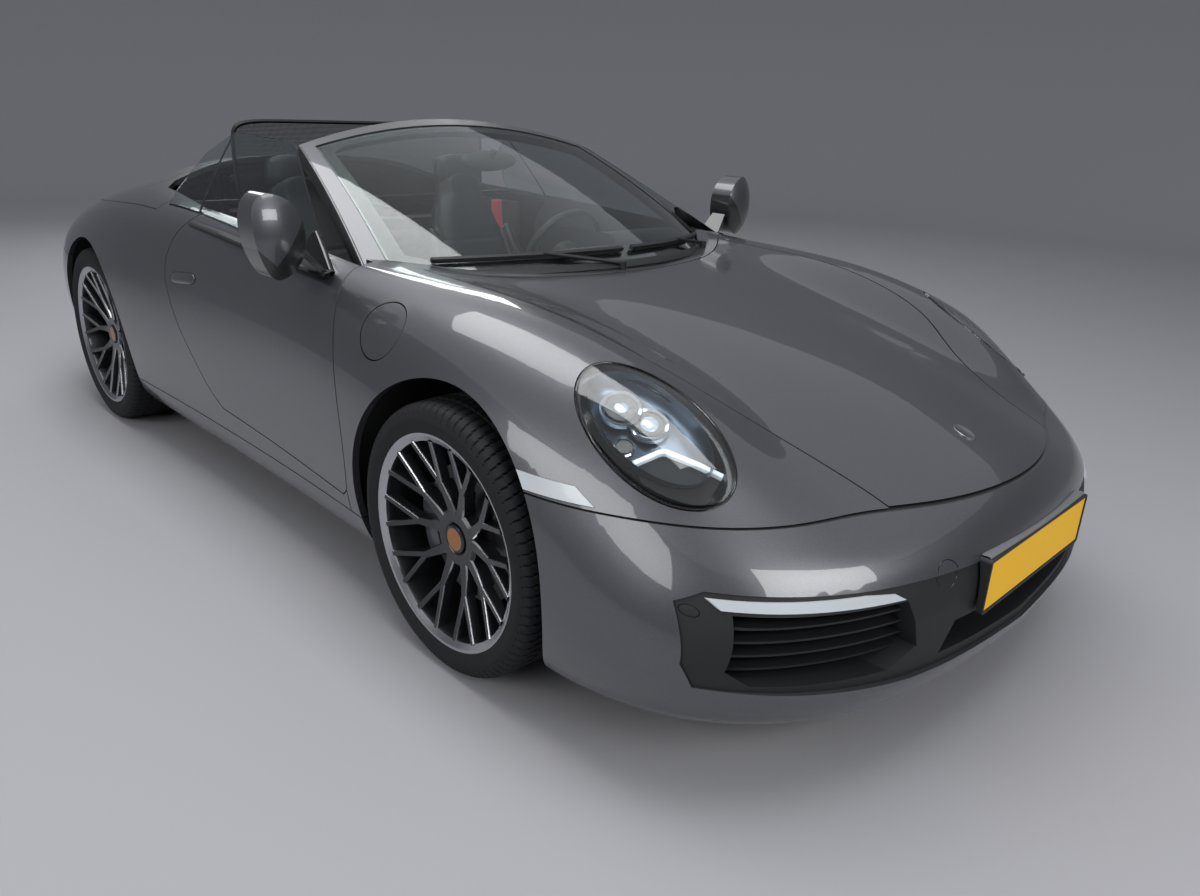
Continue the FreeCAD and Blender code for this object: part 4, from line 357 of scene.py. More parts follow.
def on_screen(height, side, above):
    """The windscreen's surface: straight from foot to head, dropping with the square of side, with a
    crown of 16 mm in between; above is the distance along its normal."""
    height, side = np.broadcast_arrays(np.asarray(height, float), np.asarray(side, float))
    h, s = height[..., None], side[..., None]
    foot, foot_corner = np.array([0.970, 0, 0.885]), np.array([0.698, 0, 0.867])
    head, head_corner = np.array([0.095, 0, 1.238]), np.array([0.118, 0, 1.168])
    line = foot + (head - foot) * h
    drop = (foot_corner - foot) + ((head_corner - head) - (foot_corner - foot)) * h
    wide = (0.659 + (0.560 - 0.659) * h) * s
    points = line + drop * s ** 2 + SCREEN_NORMAL * (0.064 * h * (1 - h) + above)
    points = points + np.concatenate([np.full_like(h, SHIFT), wide, 0 * h], -1)
    return points


def border(outer, inner, above):
    """A flat ring on the screen between two rounded rectangles of (low, high, side) limits: a circle
    pushed out to its square, by 1 over the larger of |cos| and |sin|, but 1.36 times at most."""
    turn = circle(160)
    bow = np.minimum(1 / np.maximum(np.abs(np.cos(turn)), np.abs(np.sin(turn))), 1.36)
    rings = []
    for low, high, reach in (outer, inner):
        across = np.clip(np.cos(turn) * bow, -1, 1) * reach
        along = (low + high) / 2 + np.clip(np.sin(turn) * bow, -1, 1) * (high - low) / 2
        rings.append(on_screen(along, across, above))
    return ringed(rings)


piece("windscreen_ceramic_border", [border((0.004, 0.996, 0.996), (0.085, 0.945, 0.925), -0.0056)], ceramic,
      "body")
height = np.linspace(-0.03, 1.045, 50)
for side, name in SIDES:
    edges = [on_screen(height, side * reach, above) for reach, above in
             ((0.9995, -0.004), (1.0, 0.0022), (1.0095, 0.0026), (1.012, 0.0005))]
    piece("screen_edge_seal_" + name, [patch(np.stack(edges))], seal_rubber, "body")
    edges = [on_screen(height, side * reach, above) for reach, above in
             ((1.078, 0.0035), (1.088, 0.0015), (1.0925, -0.008), (1.094, -0.020), (1.090, -0.034),
              (1.078, -0.036))]
    piece("pillar_seal_" + name, [ribbed(edges)], seal_rubber, "body")
across = np.linspace(-1, 1, 60)
for name, section in (
        ("screen_edge_seal_top", ((0.999, -0.004), (1.0, 0.002), (1.010, 0.0025), (1.013, 0.0005))),
        ("screen_foot_seal", ((-0.03, 0.004), (-0.012, 0.006), (0.004, 0.003), (0.010, 0.0008)))):
    edges = [on_screen(level, across, above) for level, above in section]
    piece(name, [patch(np.stack(edges))], seal_rubber, "body")


# Belt trims and window edges: black rubber lips where the glass enters the door, a black triangle
# that closes the window's front corner, and a black edge seal between the two panes.
def glass_side(z, out=0.0):
    """Distance from the middle of the side glass's outer face at a level: an arc through its foot,
    middle and head, here the parabola through those three points."""
    z = np.asarray(z, float)
    low, mid, high = 0.880, 1.040, 1.200
    return (0.806 * (z - mid) * (z - high) / 0.0512 - 0.708 * (z - low) * (z - high) / 0.0256
            + 0.588 * (z - low) * (z - mid) / 0.0512) + out


def skin_level(x, y, *names):
    """Height of the highest of these CAD nodes that a plumb line at (x, y) meets."""
    found = [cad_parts[n].ray_cast(Vector((x, y, 1.5)), Vector((0, 0, -1))) for n in names]
    heights = [hit[1].z for hit in found if hit[0]]
    return max(heights) if heights else 0.9


BELT_LOW, BELT_HIGH = 0.872, 0.935
for side, name in SIDES:
    stations = np.linspace(-0.300, 0.655, 34)
    levels = np.array([skin_level(x, side * 0.815, "door_" + name) for x in stations])
    levels = np.minimum(np.maximum(levels, BELT_LOW), BELT_HIGH)
    rows = []
    for out, up in ((0.030, -0.001), (0.028, 0.006), (0.012, 0.011), (0.0015, 0.010), (0.0012, -0.004)):
        z = levels + up
        rows.append(np.stack([stations + SHIFT, side * glass_side(z, out), z], -1))
    piece("belt_trim_" + name, [ribbed(rows)], seal_rubber, "door_" + name)
    corner = np.array([(0.640, 0.882), (0.552, 0.929), (0.478, 0.966), (0.462, 0.962), (0.452, 0.930),
                       (0.448, 0.884)])
    middle = corner.mean(0)
    rings = []
    for share, out in ((1.0, 0.0012), (1.0, 0.006), (0.93, 0.009), (0.0, 0.0095)):
        flat = middle + (corner - middle) * share
        rings.append(np.stack([flat[:, 0] + SHIFT, side * glass_side(flat[:, 1], out), flat[:, 1]], -1))
    piece("window_corner_%s" % name, [ringed(rings)], gloss_black, "door_" + name, 25)
    run = np.linspace(0, 1, 16)
    x, z = -0.308 - 0.080 * run, 0.900 + 0.290 * run
    rows = [np.stack([x + dx + SHIFT, side * glass_side(z, out), z], -1)
            for dx, out in ((0.006, -0.0055), (0.006, 0.0008), (-0.004, 0.0008), (-0.004, -0.0055))]
    piece("pane_seal_" + name, [ribbed(rows)], seal_rubber, "body")


# Door mirrors: the CAD housing is painted above a slanting joint and grained black plastic below,
# with silvered glass set in the back. The joint is two planes in the car's own Y and Z.
mirror_paint = material("mirror housing paint over black plastic", PAINT, **LACQUERED)
tree, surface, place = surface_of(mirror_paint)
split = add(tree, "ShaderNodeSeparateXYZ", {"Vector": place})
outward = add(tree, "ShaderNodeMath", {0: split.outputs["Y"]}, operation="ABSOLUTE")
lines = [add(tree, "ShaderNodeMath", {0: outward.outputs[0], 1: slope, 2: level}, operation="MULTIPLY_ADD")
         for slope, level in ((-1.40, 2.249), (1.016, -0.071))]
joint_line = add(tree, "ShaderNodeMath", {0: lines[0].outputs[0], 1: lines[1].outputs[0]},
                 operation="MAXIMUM")
over = add(tree, "ShaderNodeMath", {0: split.outputs["Z"], 1: joint_line.outputs[0]},
           operation="GREATER_THAN")
tint = add(tree, "ShaderNodeMix", {0: over.outputs[0], 6: linear("#141517"), 7: linear(PAINT)},
           data_type="RGBA")
metal = add(tree, "ShaderNodeMath", {0: over.outputs[0], 1: LACQUERED["Metallic"]}, operation="MULTIPLY")
tree.links.new(tint.outputs[2], surface.inputs["Base Color"])
tree.links.new(metal.outputs[0], surface.inputs["Metallic"])
dress(mirror_paint, "mirror_right", "mirror_left")
silvering = material("silvered mirror glass", "#d7dadc", Metallic=1.0, Roughness=0.02)
outline = np.array([(-0.962, 1.084), (-0.897, 1.048), (-0.877, 1.005), (-0.874, 0.960), (-0.890, 0.908),
                    (-0.955, 0.868), (-0.988, 0.905), (-1.008, 0.965), (-1.011, 1.016), (-1.000, 1.060),
                    (-0.962, 1.084)])
loop = flowing(outline, 80)[:-1]
centre = np.array([-0.942, 0.980])
for side, name in SIDES:
    rings = []
    for share, x in ((0.905, 0.5528), (0.905, 0.5500), (0.0, 0.5500)):
        flat = centre + (loop - centre) * share
        rings.append(np.stack([np.full(len(flat), x), -side * flat[:, 0], flat[:, 1]], -1))
    piece("mirror_glass_" + name, [ringed(rings)], silvering, "door_" + name)
inside = material("silvered interior mirror glass", "#b9bcc0", Metallic=1.0, Roughness=0.03)
dress(black_plastic, "interior_mirror")
turn = circle(60)
rings = [np.stack([np.full(60, x), 0.108 * share * np.cos(turn), 1.128 + 0.029 * share * np.sin(turn)], -1)
         for share, x in ((1.0, 0.2560), (1.0, 0.2552), (0.0, 0.2552))]
piece("interior_mirror_glass", [ringed(rings)], inside, "body")


# Headlamps: a clear polycarbonate lens over a dark bowl with a blue-silver upper reflector, two
# round projectors in bright rings, a small auxiliary lamp and a bent white light guide below them.
# The light guide's faint white glow is painted light, not a lit lamp.
lens_clear = glass("clear moulded polycarbonate", "#eef3f4")
dress(lens_clear, "headlamp_lenses")
bowl_black = material("black lacquered lamp bowl", "#0c0d0f", Roughness=0.22, Coat_Weight=0.4)
reflector = material("blue-silver metallised reflector", "#66717f", Metallic=1.0, Roughness=0.30)
chrome = material("bright chrome plate", "#d9dbde", Metallic=1.0, Roughness=0.08)
# Painted glow: a weak emission makes the light guide glow faintly, standing in for light on it.
white_guide_painted_glow = material("frosted white light guide with painted glow", "#e9edf0", Roughness=0.25,
                       Emission_Color=linear("#dfe8f0"), Emission_Strength=0.25)
dress(bowl_black, "headlamps")
LAMP_CENTRE = np.array([1.7324, -0.716, 0.712])
LAMP_LONG, LAMP_SHORT = 0.206, 0.119
lamp_out = np.array([0.449, -0.339, 0.827]) / np.linalg.norm([0.449, -0.339, 0.827])
lamp_across = np.cross(lamp_out, [0.884, 0.061, -0.466])
lamp_across /= np.linalg.norm(lamp_across)
lamp_along = np.cross(lamp_across, lamp_out)


def spread(*values):
    """Arrays brought to one shape, each with a last axis to multiply directions by."""
    return [np.asarray(value, float)[..., None] for value in np.broadcast_arrays(*values)]


def in_lamp(along, across, depth):
    """A point in the right lamp from its long axis, short axis and depth below the oval's plane."""
    along, across, depth = spread(along, across, depth)
    return LAMP_CENTRE + lamp_along * along + lamp_across * across - lamp_out * depth


def both_lamps(name, grids, finish, wraps=(False, True)):
    """The piece in the right-hand lamp and its mirror image in the left-hand one."""
    for side, hand in ((1, "right"), (-1, "left")):
        piece(name + "_" + hand, [patch(grid * (1, side, 1), *wraps) for grid in grids], finish, "body")


def disc_rings(along, across, profile):
    """(radius, depth) points carried round an axis through a place in the lamp."""
    angle = circle(48)
    radius, depth = np.transpose(profile)[..., None]
    return in_lamp(along + radius * np.cos(angle), across + radius * np.sin(angle), depth)


angle = circle(96)
# The upper reflector: a shallow dish behind the projectors.
rings = [in_lamp(-0.020 + (LAMP_LONG - 0.012) * share * np.cos(angle) * 0.90,
                 0.010 + (LAMP_SHORT - 0.010) * share * np.sin(angle) * 0.90, depth)
         for share, depth in ((0.93, 0.012), (0.90, 0.030), (0.80, 0.052), (0.60, 0.064), (0.0, 0.070))]
both_lamps("lamp_reflector", [np.stack(rings)], reflector)
rings = [in_lamp((LAMP_LONG - inset) * np.cos(angle), (LAMP_SHORT - inset) * np.sin(angle), depth)
         for inset, depth in ((0.0065, -0.004), (0.0068, 0.020), (0.016, 0.022), (0.019, 0.030),
                              (0.022, 0.055), (0.009, 0.056), (0.0065, -0.004))]
both_lamps("lamp_bezel", [np.stack(rings)], bowl_black)
projector = [disc_rings(-0.105, 0.012, [(0.046, 0.056), (0.046, 0.044), (0.043, 0.041), (0.037, 0.044),
                                        (0.034, 0.052), (0.033, 0.060), (0.046, 0.060)]),
             disc_rings(-0.042, 0.036, [(0.043, 0.060), (0.043, 0.050), (0.040, 0.047), (0.034, 0.050),
                                        (0.031, 0.058), (0.030, 0.064), (0.043, 0.064)]),
             disc_rings(-0.030, -0.044, [(0.022, 0.064), (0.022, 0.054), (0.019, 0.052), (0.016, 0.058),
                                         (0.015, 0.064)])]
both_lamps("projector_rings", projector, chrome)
ball = np.linspace(0, np.pi / 2, 9)
eyes = [disc_rings(along, across, np.stack([r * np.cos(ball), depth - r * 0.62 * np.sin(ball)], -1))
        for along, across, r, depth in ((-0.105, 0.012, 0.0325, 0.060), (-0.042, 0.036, 0.0295, 0.064),
                                        (-0.030, -0.044, 0.0145, 0.064))]
eye_glass = material("projector lens glass", "#aebccb", Roughness=0.03, Metallic=0.35, Coat_Weight=1.0)
both_lamps("projector_lenses", eyes, eye_glass)
GUIDE_STEPS = 60
path = flowing([(0.020, -0.066), (0.026, -0.034), (0.034, 0.000), (0.052, 0.012), (0.100, 0.036),
                (0.150, 0.056)], GUIDE_STEPS)
tangent = np.gradient(path, axis=0)
tangent /= np.linalg.norm(tangent, axis=1)[:, None]
aside = np.stack([-tangent[:, 1], tangent[:, 0]], -1)
rows = [in_lamp(path[:, 0] + aside[:, 0] * w, path[:, 1] + aside[:, 1] * w, d)
        for w, d in ((0.0055, 0.040), (0.0055, 0.030), (0.004, 0.0285), (-0.004, 0.0285), (-0.0055, 0.030),
                     (-0.0055, 0.040))]
both_lamps("light_guide", [np.stack(rows)], white_guide_painted_glow, (True, False))
# The dark lower tray with fine ribs, from the light guide down to an arc along the bowl's edge.
tray_black = material("matt black moulded lamp tray", "#08090a", Roughness=0.65)
down = np.linspace(0, 1, 24)[None, :]
arc = np.linspace(-1.05, -0.05, GUIDE_STEPS)
arc = np.stack([0.17248 * np.cos(arc), 0.100 * np.sin(arc)], -1)[:, None]
tray = path[:, None] * (1 - down[..., None]) + arc * down[..., None]
depth = 0.040 - 0.0012 * np.sin(down * 24 * np.pi) ** 2 + 0.004 * down
both_lamps("lamp_tray", [in_lamp(tray[..., 0], tray[..., 1], depth)], tray_black, (False, False))


# Light strips, indicators and the tail light: moulded acrylic, pale in front and red behind. Grilles,
# discs, linings, engine and exhaust show their own bare plastic, iron, felt, aluminium and steel.
acrylic = material("pale moulded acrylic", "#c3c8cd", Roughness=0.2, Coat_Weight=0.4)
dress(acrylic, "marker_lamps")
red_lens = material("red moulded acrylic", "#8f0f14", Roughness=0.12, Coat_Weight=0.8,
                    Transmission_Weight=0.2)
dress(red_lens, "tail_lamp")
dress(black_plastic, "intake_grilles", "plate_holder", "wipers")
dress(material("yellow reflective number plate", "#ffc400", Roughness=0.5), "number_plate")
dress(material("grey cast iron brake disc", "#77787b", Metallic=0.9, Roughness=0.38),
      "brake_disc_front_right", "brake_disc_front_left", "brake_disc_rear_right", "brake_disc_rear_left")
dress(material("light grey lacquered caliper and cast upright", "#8c8f93", Metallic=0.5, Roughness=0.4),
      "knuckle_front_right", "knuckle_front_left")
dress(grain(material("black needle-felt arch liner", "#0f1011", Roughness=0.9), 1.5, 0.2), "arch_liners")
dress(material("cast aluminium engine and gearbox", "#6f7174", Metallic=0.7, Roughness=0.5), "engine")
dress(material("brushed stainless exhaust", "#a6a7a9", Metallic=1.0, Roughness=0.25), "exhaust")


# Seats: foam pads under black leather, each cushion, backrest and headrest blown up a little as cloth
# so that its sides pull in, with channels sewn across the middle. They stand on steel rails.
leather = grain(material("black grained leather", "#1a1b1d", Roughness=0.46, Specular_IOR_Level=0.45),
                1.6, 0.05)
soft_black = grain(material("black slush-moulded dashboard skin", "#141517", Roughness=0.62), 1.4, 0.06)
carpet = grain(material("black cut-pile carpet", "#121315", Roughness=0.95, Sheen_Weight=0.2), 1.2, 0.6)
satin_metal = material("satin chromed trim", "#9b9da0", Metallic=1.0, Roughness=0.3)
dark_metal = material("black powder-coated steel", "#151618", Metallic=0.3, Roughness=0.45)
SEAT_Y = 0.365


def bowed(wave, power):
    """The wave's size to that power, with its sign kept: it squares off a circle or an oval."""
    return np.sign(wave) * np.abs(wave) ** power


def pad(course, wide, thick, y, power=3.0, rows=44, columns=56, blunt=9):
    """A closed stuffed form. Superellipses |u/wide|^power + |v/thick|^power = 1 stand across a curve in
    the XZ plane, and shrink at its ends by (1 - |2s - 1|^blunt)^(1/2.4). wide and thick are (s, value)."""
    s = 0.5 - 0.5 * np.cos(np.linspace(0, np.pi, rows))
    line = flowing(course, 200)
    along = np.linspace(0, 1, 200)
    x, z = np.interp(s, along, line[:, 0]), np.interp(s, along, line[:, 1])
    dx, dz = np.gradient(x, s), np.gradient(z, s)
    reach = np.hypot(dx, dz)
    end = np.maximum(1 - np.abs(2 * s - 1) ** blunt, 0) ** (1 / 2.4)
    half_wide = (np.interp(s, *np.transpose(wide)) * end)[:, None]
    half_thick = (np.interp(s, *np.transpose(thick)) * end)[:, None]
    turn = circle(columns)
    u, v = bowed(np.cos(turn), 2 / power), bowed(np.sin(turn), 2 / power)
    normal_x, normal_z = (dz / reach)[:, None], (-dx / reach)[:, None]
    grid = np.stack([x[:, None] + normal_x * half_thick * v, y + half_wide * u,
                     z[:, None] + normal_z * half_thick * v], -1)
    return patch(grid, False, True)


def points_of(mesh):
    """The mesh's points as an array of (x, y, z)."""
    flat = np.empty(len(mesh.vertices) * 3)
    mesh.vertices.foreach_get("co", flat)
    return flat.reshape(-1, 3)


def evaluated(made):
    """A mesh of the piece with its modifiers applied."""
    bpy.context.view_layer.update()
    return bpy.data.meshes.new_from_object(made.evaluated_get(bpy.context.evaluated_depsgraph_get()))


CLOTH_FRAMES = 20


def stuffed(made, channels, cap=0.010):
    """The piece remeshed, blown up as pressed cloth for 20 frames with each point's travel capped, and
    pressed in along channels: a function of its points that gives the depth of the stitching."""
    remesh = made.modifiers.new("remesh", "REMESH")
    remesh.mode = "VOXEL"
    remesh.voxel_size = 0.0095
    made.data = evaluated(made)
    made.modifiers.clear()
    start = points_of(made.data)
    cloth = made.modifiers.new("cloth", "CLOTH")
    cloth.settings.use_pressure = True
    cloth.settings.uniform_pressure_force = 4.0
    cloth.settings.effector_weights.gravity = 0.0
    cloth.settings.quality = 4
    cloth.settings.mass = 0.4
    cloth.settings.tension_stiffness = 25
    cloth.settings.bending_stiffness = 2
    cloth.point_cache.frame_start = 1
    cloth.point_cache.frame_end = CLOTH_FRAMES
    for step in range(1, CLOTH_FRAMES + 1):
        bpy.context.scene.frame_set(step)
    blown = points_of(evaluated(made))
    made.modifiers.clear()
    bpy.context.scene.frame_set(1)
    travel = blown - start
    length = np.linalg.norm(travel, axis=1, keepdims=True)
    start = start + travel * np.minimum(1, cap / np.maximum(length, 1e-9))
    made.data.vertices.foreach_set("co", start.ravel())
    flat = np.empty(len(start) * 3)
    made.data.vertex_normals.foreach_get("vector", flat)
    start = start - flat.reshape(-1, 3) * channels(start)[:, None]
    made.data.vertices.foreach_set("co", start.ravel())
    made.data.update()
    made.data.shade_smooth()
    finer = made.modifiers.new("subdivision", "SUBSURF")
    finer.levels = finer.render_levels = 1
    return made


def twin(made, name, matrix):
    """A copy of a stuffed piece moved or mirrored across the car."""
    copy = made.copy()
    copy.data = made.data.copy()
    copy.data.transform(matrix)
    if matrix.determinant() < 0:
        copy.data.flip_normals()
    copy.name = copy.data.name = name
    bpy.context.scene.collection.objects.link(copy)
    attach(copy, "body")
    return copy


def groove(distance, half_width, depth):
    """Depth of a sewn channel: a bell of that half width about zero distance."""
    return depth * np.exp(-(distance / half_width) ** 2)


def cushion_seams(points):
    """Two long seams beside the middle panel and four channels across it."""
    aside = np.abs(points[:, 1] + SEAT_Y)
    across = sum(groove(points[:, 0] - x, 0.006, 0.0045) for x in (-0.04, 0.045, 0.13, 0.215))
    middle = (aside < 0.165) & (points[:, 2] > 0.29)
    return groove(aside - 0.172, 0.007, 0.006) + np.where(middle, across, 0)


def backrest_seams(points):
    """Two long seams beside the middle panel and channels across it up to the shoulders."""
    aside = np.abs(points[:, 1] + SEAT_Y)
    edge = np.interp(points[:, 2], [0.3, 0.85, 0.95], [0.165, 0.150, 0.115])
    across = sum(groove(points[:, 2] - z, 0.006, 0.0045) for z in (0.46, 0.54, 0.62, 0.70, 0.78))
    return groove(aside - edge - 0.007, 0.007, 0.006) + np.where(aside < edge, across, 0)


def head_seams(points):
    """One seam round the headrest, along its edge."""
    aside = np.abs(points[:, 1] + SEAT_Y)
    return groove(aside - 0.088, 0.006, 0.003)


cushion = [pad([(-0.165, 0.285), (0.0, 0.288), (0.15, 0.300), (0.305, 0.330)], [(0, 0.180), (1, 0.185)],
               [(0, 0.052), (0.5, 0.058), (1, 0.060)], -SEAT_Y)]
back = [pad([(-0.215, 0.300), (-0.222, 0.420), (-0.290, 0.620), (-0.370, 0.800), (-0.412, 0.930),
             (-0.428, 1.085)],
            [(0, 0.180), (0.6, 0.185), (0.76, 0.155), (0.84, 0.122), (0.93, 0.122), (1, 0.110)],
            [(0, 0.050), (0.35, 0.056), (0.75, 0.045), (0.85, 0.036), (1, 0.040)], -SEAT_Y, rows=60)]
for way in (-1, 1):
    for shapes, course, thick in (
            (cushion, [(-0.145, 0.325), (0.06, 0.330), (0.285, 0.358)],
             [(0, 0.058), (0.6, 0.060), (1, 0.054)]),
            (back, [(-0.165, 0.310), (-0.175, 0.430), (-0.240, 0.620), (-0.345, 0.830)],
             [(0, 0.050), (0.5, 0.055), (1, 0.030)])):
        shapes.append(pad(course, [(0, 0.030), (1, 0.030)], thick, way * 0.204 - SEAT_Y, power=2.4,
                          columns=32))
head = [pad([(-0.425, 0.955), (-0.424, 1.030), (-0.428, 1.112)], [(0, 0.100), (0.5, 0.118), (1, 0.108)],
            [(0, 0.034), (0.5, 0.040), (1, 0.034)], -SEAT_Y, rows=30)]
for name, shapes, seams in (("seat_cushion", cushion, cushion_seams), ("backrest", back, backrest_seams),
                            ("headrest", head, head_seams)):
    made = piece(name + "_right", shapes, leather, "body")
    stuffed(made, seams)
    twin(made, name + "_left", Matrix.Translation((0, 2 * SEAT_Y, 0)))
for side, name in SIDES:
    base = [pad([(-0.195, 0.225), (0.255, 0.225)], [(0, 0.195), (1, 0.195)], [(0, 0.028), (1, 0.028)],
                side * SEAT_Y, power=9, blunt=30)]
    for way in (-1, 1):
        base.append(pad([(-0.198, 0.178), (0.258, 0.178)], [(0, 0.018), (1, 0.018)], [(0, 0.022), (1, 0.022)],
                        side * SEAT_Y + way * 0.185, power=9, rows=20, columns=24, blunt=40))
    stand = piece("seat_base_" + name, base, dark_metal, "body")
    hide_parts("seat_" + name)


# Rear seats: two small cushions and backrests in the same leather, on the step over the engine.
def rear_seams(points):
    """A seam beside each bolster and channels across the middle."""
    aside = np.abs(np.abs(points[:, 1]) - 0.295)
    across = sum(groove(points[:, 0] - x, 0.006, 0.004) for x in (-0.60, -0.68))
    across = across + sum(groove(points[:, 2] - z, 0.006, 0.004) for z in (0.52, 0.60, 0.68))
    return groove(aside - 0.150, 0.007, 0.005) + np.where(aside < 0.145, across, 0)


for name, course, wide, thick in (
        ("rear_cushion", [(-0.780, 0.390), (-0.650, 0.392), (-0.520, 0.385)], [(0, 0.205), (1, 0.215)],
         [(0, 0.040), (0.6, 0.048), (1, 0.040)]),
        ("rear_backrest", [(-0.815, 0.430), (-0.822, 0.560), (-0.850, 0.700), (-0.878, 0.765)],
         [(0, 0.210), (1, 0.190)], [(0, 0.048), (0.5, 0.046), (1, 0.018)])):
    made = piece(name + "_right", [pad(course, wide, thick, -0.295)], leather, "body")
    stuffed(made, rear_seams, cap=0.008)
    if name == "rear_cushion":
        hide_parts("rear_seats")
    twin(made, name + "_left", Matrix.Scale(-1, 4, (0, 1, 0)))

# Red safety belts: 48 mm woven webbing from the guide on each rear quarter down to the sill.
BELT_HALF, BELT_THICK = 0.024, 0.0012
webbing = material("red woven belt webbing", "#a81820", Roughness=0.6, Sheen_Weight=0.3)
tree, surface, place = surface_of(webbing)
weave = add(tree, "ShaderNodeTexWave", {"Vector": place, "Scale": 320.0}, wave_type="BANDS",
            bands_direction="Z")
bump = add(tree, "ShaderNodeBump", {"Height": weave.outputs["Fac"], "Distance": 0.0004, "Strength": 1.0})
tree.links.new(bump.outputs["Normal"], surface.inputs["Normal"])
for side, name in SIDES:
    line = flowing([(-0.545, 0.672, 0.905), (-0.530, 0.655, 0.890), (-0.500, 0.640, 0.800),
                    (-0.455, 0.635, 0.700), (-0.380, 0.638, 0.520), (-0.310, 0.655, 0.360),
                    (-0.295, 0.662, 0.318)], 60)
    course = np.gradient(line, axis=0)
    course /= np.linalg.norm(course, axis=1)[:, None]
    wide = np.cross(course, [0.6, -0.8, 0.1])
    wide /= np.linalg.norm(wide, axis=1)[:, None]
    thin = np.cross(wide, course)
    rows = [(line + wide * w + thin * t) * (1, side, 1) for w, t in
            ((-BELT_HALF, 0), (BELT_HALF, 0), (BELT_HALF, BELT_THICK), (-BELT_HALF, BELT_THICK))]
    strap = piece("belt_" + name, [ribbed(rows)], webbing, "body")

# Dashboard: moulded skin, a silver strip across it, a cowl with round dials, vents and a screen. The
# console behind it carries rows of buttons and the selector in its leather gaiter.
dress(soft_black, "dashboard", "centre_console", "driver_controls")
dress(carpet, "cabin_tub")
dial_black = material("black dial faces behind clear covers", "#08090a", Roughness=0.1, Coat_Weight=1.0)
dial_marks = material("white dial markings", "#d8dadc", Roughness=0.4)
screen_black = material("dark display glass", "#07080a", Roughness=0.06, Coat_Weight=1.0)
UP = (0, 0, 1)


def disc(centre, normal, radii_heights):
    """Rings of (radius, height) about an axis through centre along normal, as one patch."""
    normal = np.asarray(normal, float) / np.linalg.norm(normal)
    aside = np.cross(normal, [0, 0, 1.0])
    aside = aside / np.linalg.norm(aside)
    up = np.cross(aside, normal)
    turn = circle(48)
    ring = aside * np.cos(turn)[:, None] + up * np.sin(turn)[:, None]
    return ringed([np.asarray(centre) + ring * r + normal * h for r, h in radii_heights])


def bar(start, end, up, wide, high, bevel=0.25):
    """A straight bar of eight-sided section from start to end; up is its section's height direction."""
    start, end, up = (np.asarray(v, float) for v in (start, end, up))
    course = (end - start) / np.linalg.norm(end - start)
    aside = np.cross(course, up)
    aside /= np.linalg.norm(aside)
    up = np.cross(aside, course)
    w, h = wide / 2, high / 2
    b = min(wide, high) * bevel
    corners = [(w, h - b), (w - b, h), (b - w, h), (-w, h - b), (-w, b - h), (b - w, -h), (w - b, -h),
               (w, b - h)]
    return ringed([[place + (aside * w + up * h) * k for w, h in corners]
                   for place, k in ((start, 0.0), (start, 1.0), (end, 1.0), (end, 0.0))])


DIAL_AXIS = (-0.94, 0, 0.34)
bezels, faces, marks = [], [], []
for y, radius in ((0.250, 0.034), (0.306, 0.040), (0.365, 0.052), (0.424, 0.040), (0.480, 0.034)):
    centre = (0.532, y, 0.838)
    bezels.append(disc(centre, DIAL_AXIS, [(radius, -0.004), (radius, 0.006), (radius - 0.002, 0.008),
                                           (radius - 0.004, 0.006), (radius - 0.004, 0.001)]))
    faces.append(disc(centre, DIAL_AXIS, [(radius - 0.003, 0.0012), (0.0, 0.0012)]))
    marks.append(disc(centre, DIAL_AXIS, [(radius - 0.0065, 0.0016), (radius - 0.009, 0.0016)]))
piece("dial_rings", bezels, satin_metal, "body")
piece("dial_faces", faces, dial_black, "body")
piece("dial_scales", marks, dial_marks, "body")
trim = [bar((0.541, low, 0.752), (0.541, high, 0.752), UP, 0.006, 0.016)
        for low, high in ((-0.700, 0.165), (0.565, 0.700))]
piece("dashboard_strip", trim, satin_metal, "body")
piece("centre_screen", [bar((0.541, -0.105, 0.800), (0.541, 0.105, 0.800), UP, 0.012, 0.078, 0.08)],
      screen_black, "body")
vents, slats = [], []
for low, high, z in ((-0.690, -0.590, 0.800), (0.590, 0.690, 0.800), (-0.230, -0.130, 0.815),
                     (0.130, 0.190, 0.815)):
    vents.append(bar((0.545, low, z), (0.545, high, z), UP, 0.014, 0.048, 0.12))
    slats += [bar((0.538, low + 0.006, z + dz), (0.538, high - 0.006, z + dz), (0.3, 0, 1), 0.010, 0.003)
              for dz in (-0.016, -0.008, 0.0, 0.008, 0.016)]
piece("dashboard_vents", vents, gloss_black, "body")
piece("dashboard_vent_slats", slats, black_plastic, "body")
piece("glovebox_joint", [bar((0.5445, -0.620, 0.700), (0.5445, -0.160, 0.700), UP, 0.004, 0.004)],
      gloss_black, "body")
buttons = []
for row in range(4):
    for column in (-0.045, -0.015, 0.015, 0.045):
        x, z = 0.380 + row * 0.030, 0.586 + row * 0.0294
        buttons.append(bar((x - 0.008, column, z), (x + 0.008, column, z + 0.016), (-0.7, 0, 0.7), 0.022,
                           0.006))
piece("console_buttons", buttons, gloss_black, "body")
boot_halves = [(0, 0.050), (0.5, 0.034), (1, 0.016)]
boot = pad([(0.236, 0.475), (0.222, 0.505), (0.206, 0.545), (0.198, 0.560)], boot_halves, boot_halves, 0.0,
           power=2.0, rows=24, columns=32, blunt=30)
gaiter = piece("selector_gaiter", [boot], leather, "body")

# Steering wheel: leather rim with thumb rests, three spokes with satin inlays and a padded boss.
HUB = np.array([0.250, SEAT_Y, 0.785])
TILT = math.radians(24)
COLUMN = np.array([math.cos(TILT), 0, -math.sin(TILT)])
WHEEL_UP = np.array([math.sin(TILT), 0, math.cos(TILT)])
ACROSS = np.array([0.0, 1.0, 0.0])
RIM_RADIUS = 0.176


def on_steering(radius, angle, depth):
    """A point of the steering wheel: radius and angle from the car's left, depth down the column."""
    radius, angle, depth = spread(radius, angle, depth)
    return HUB + ACROSS * radius * np.cos(angle) + WHEEL_UP * radius * np.sin(angle) + COLUMN * depth


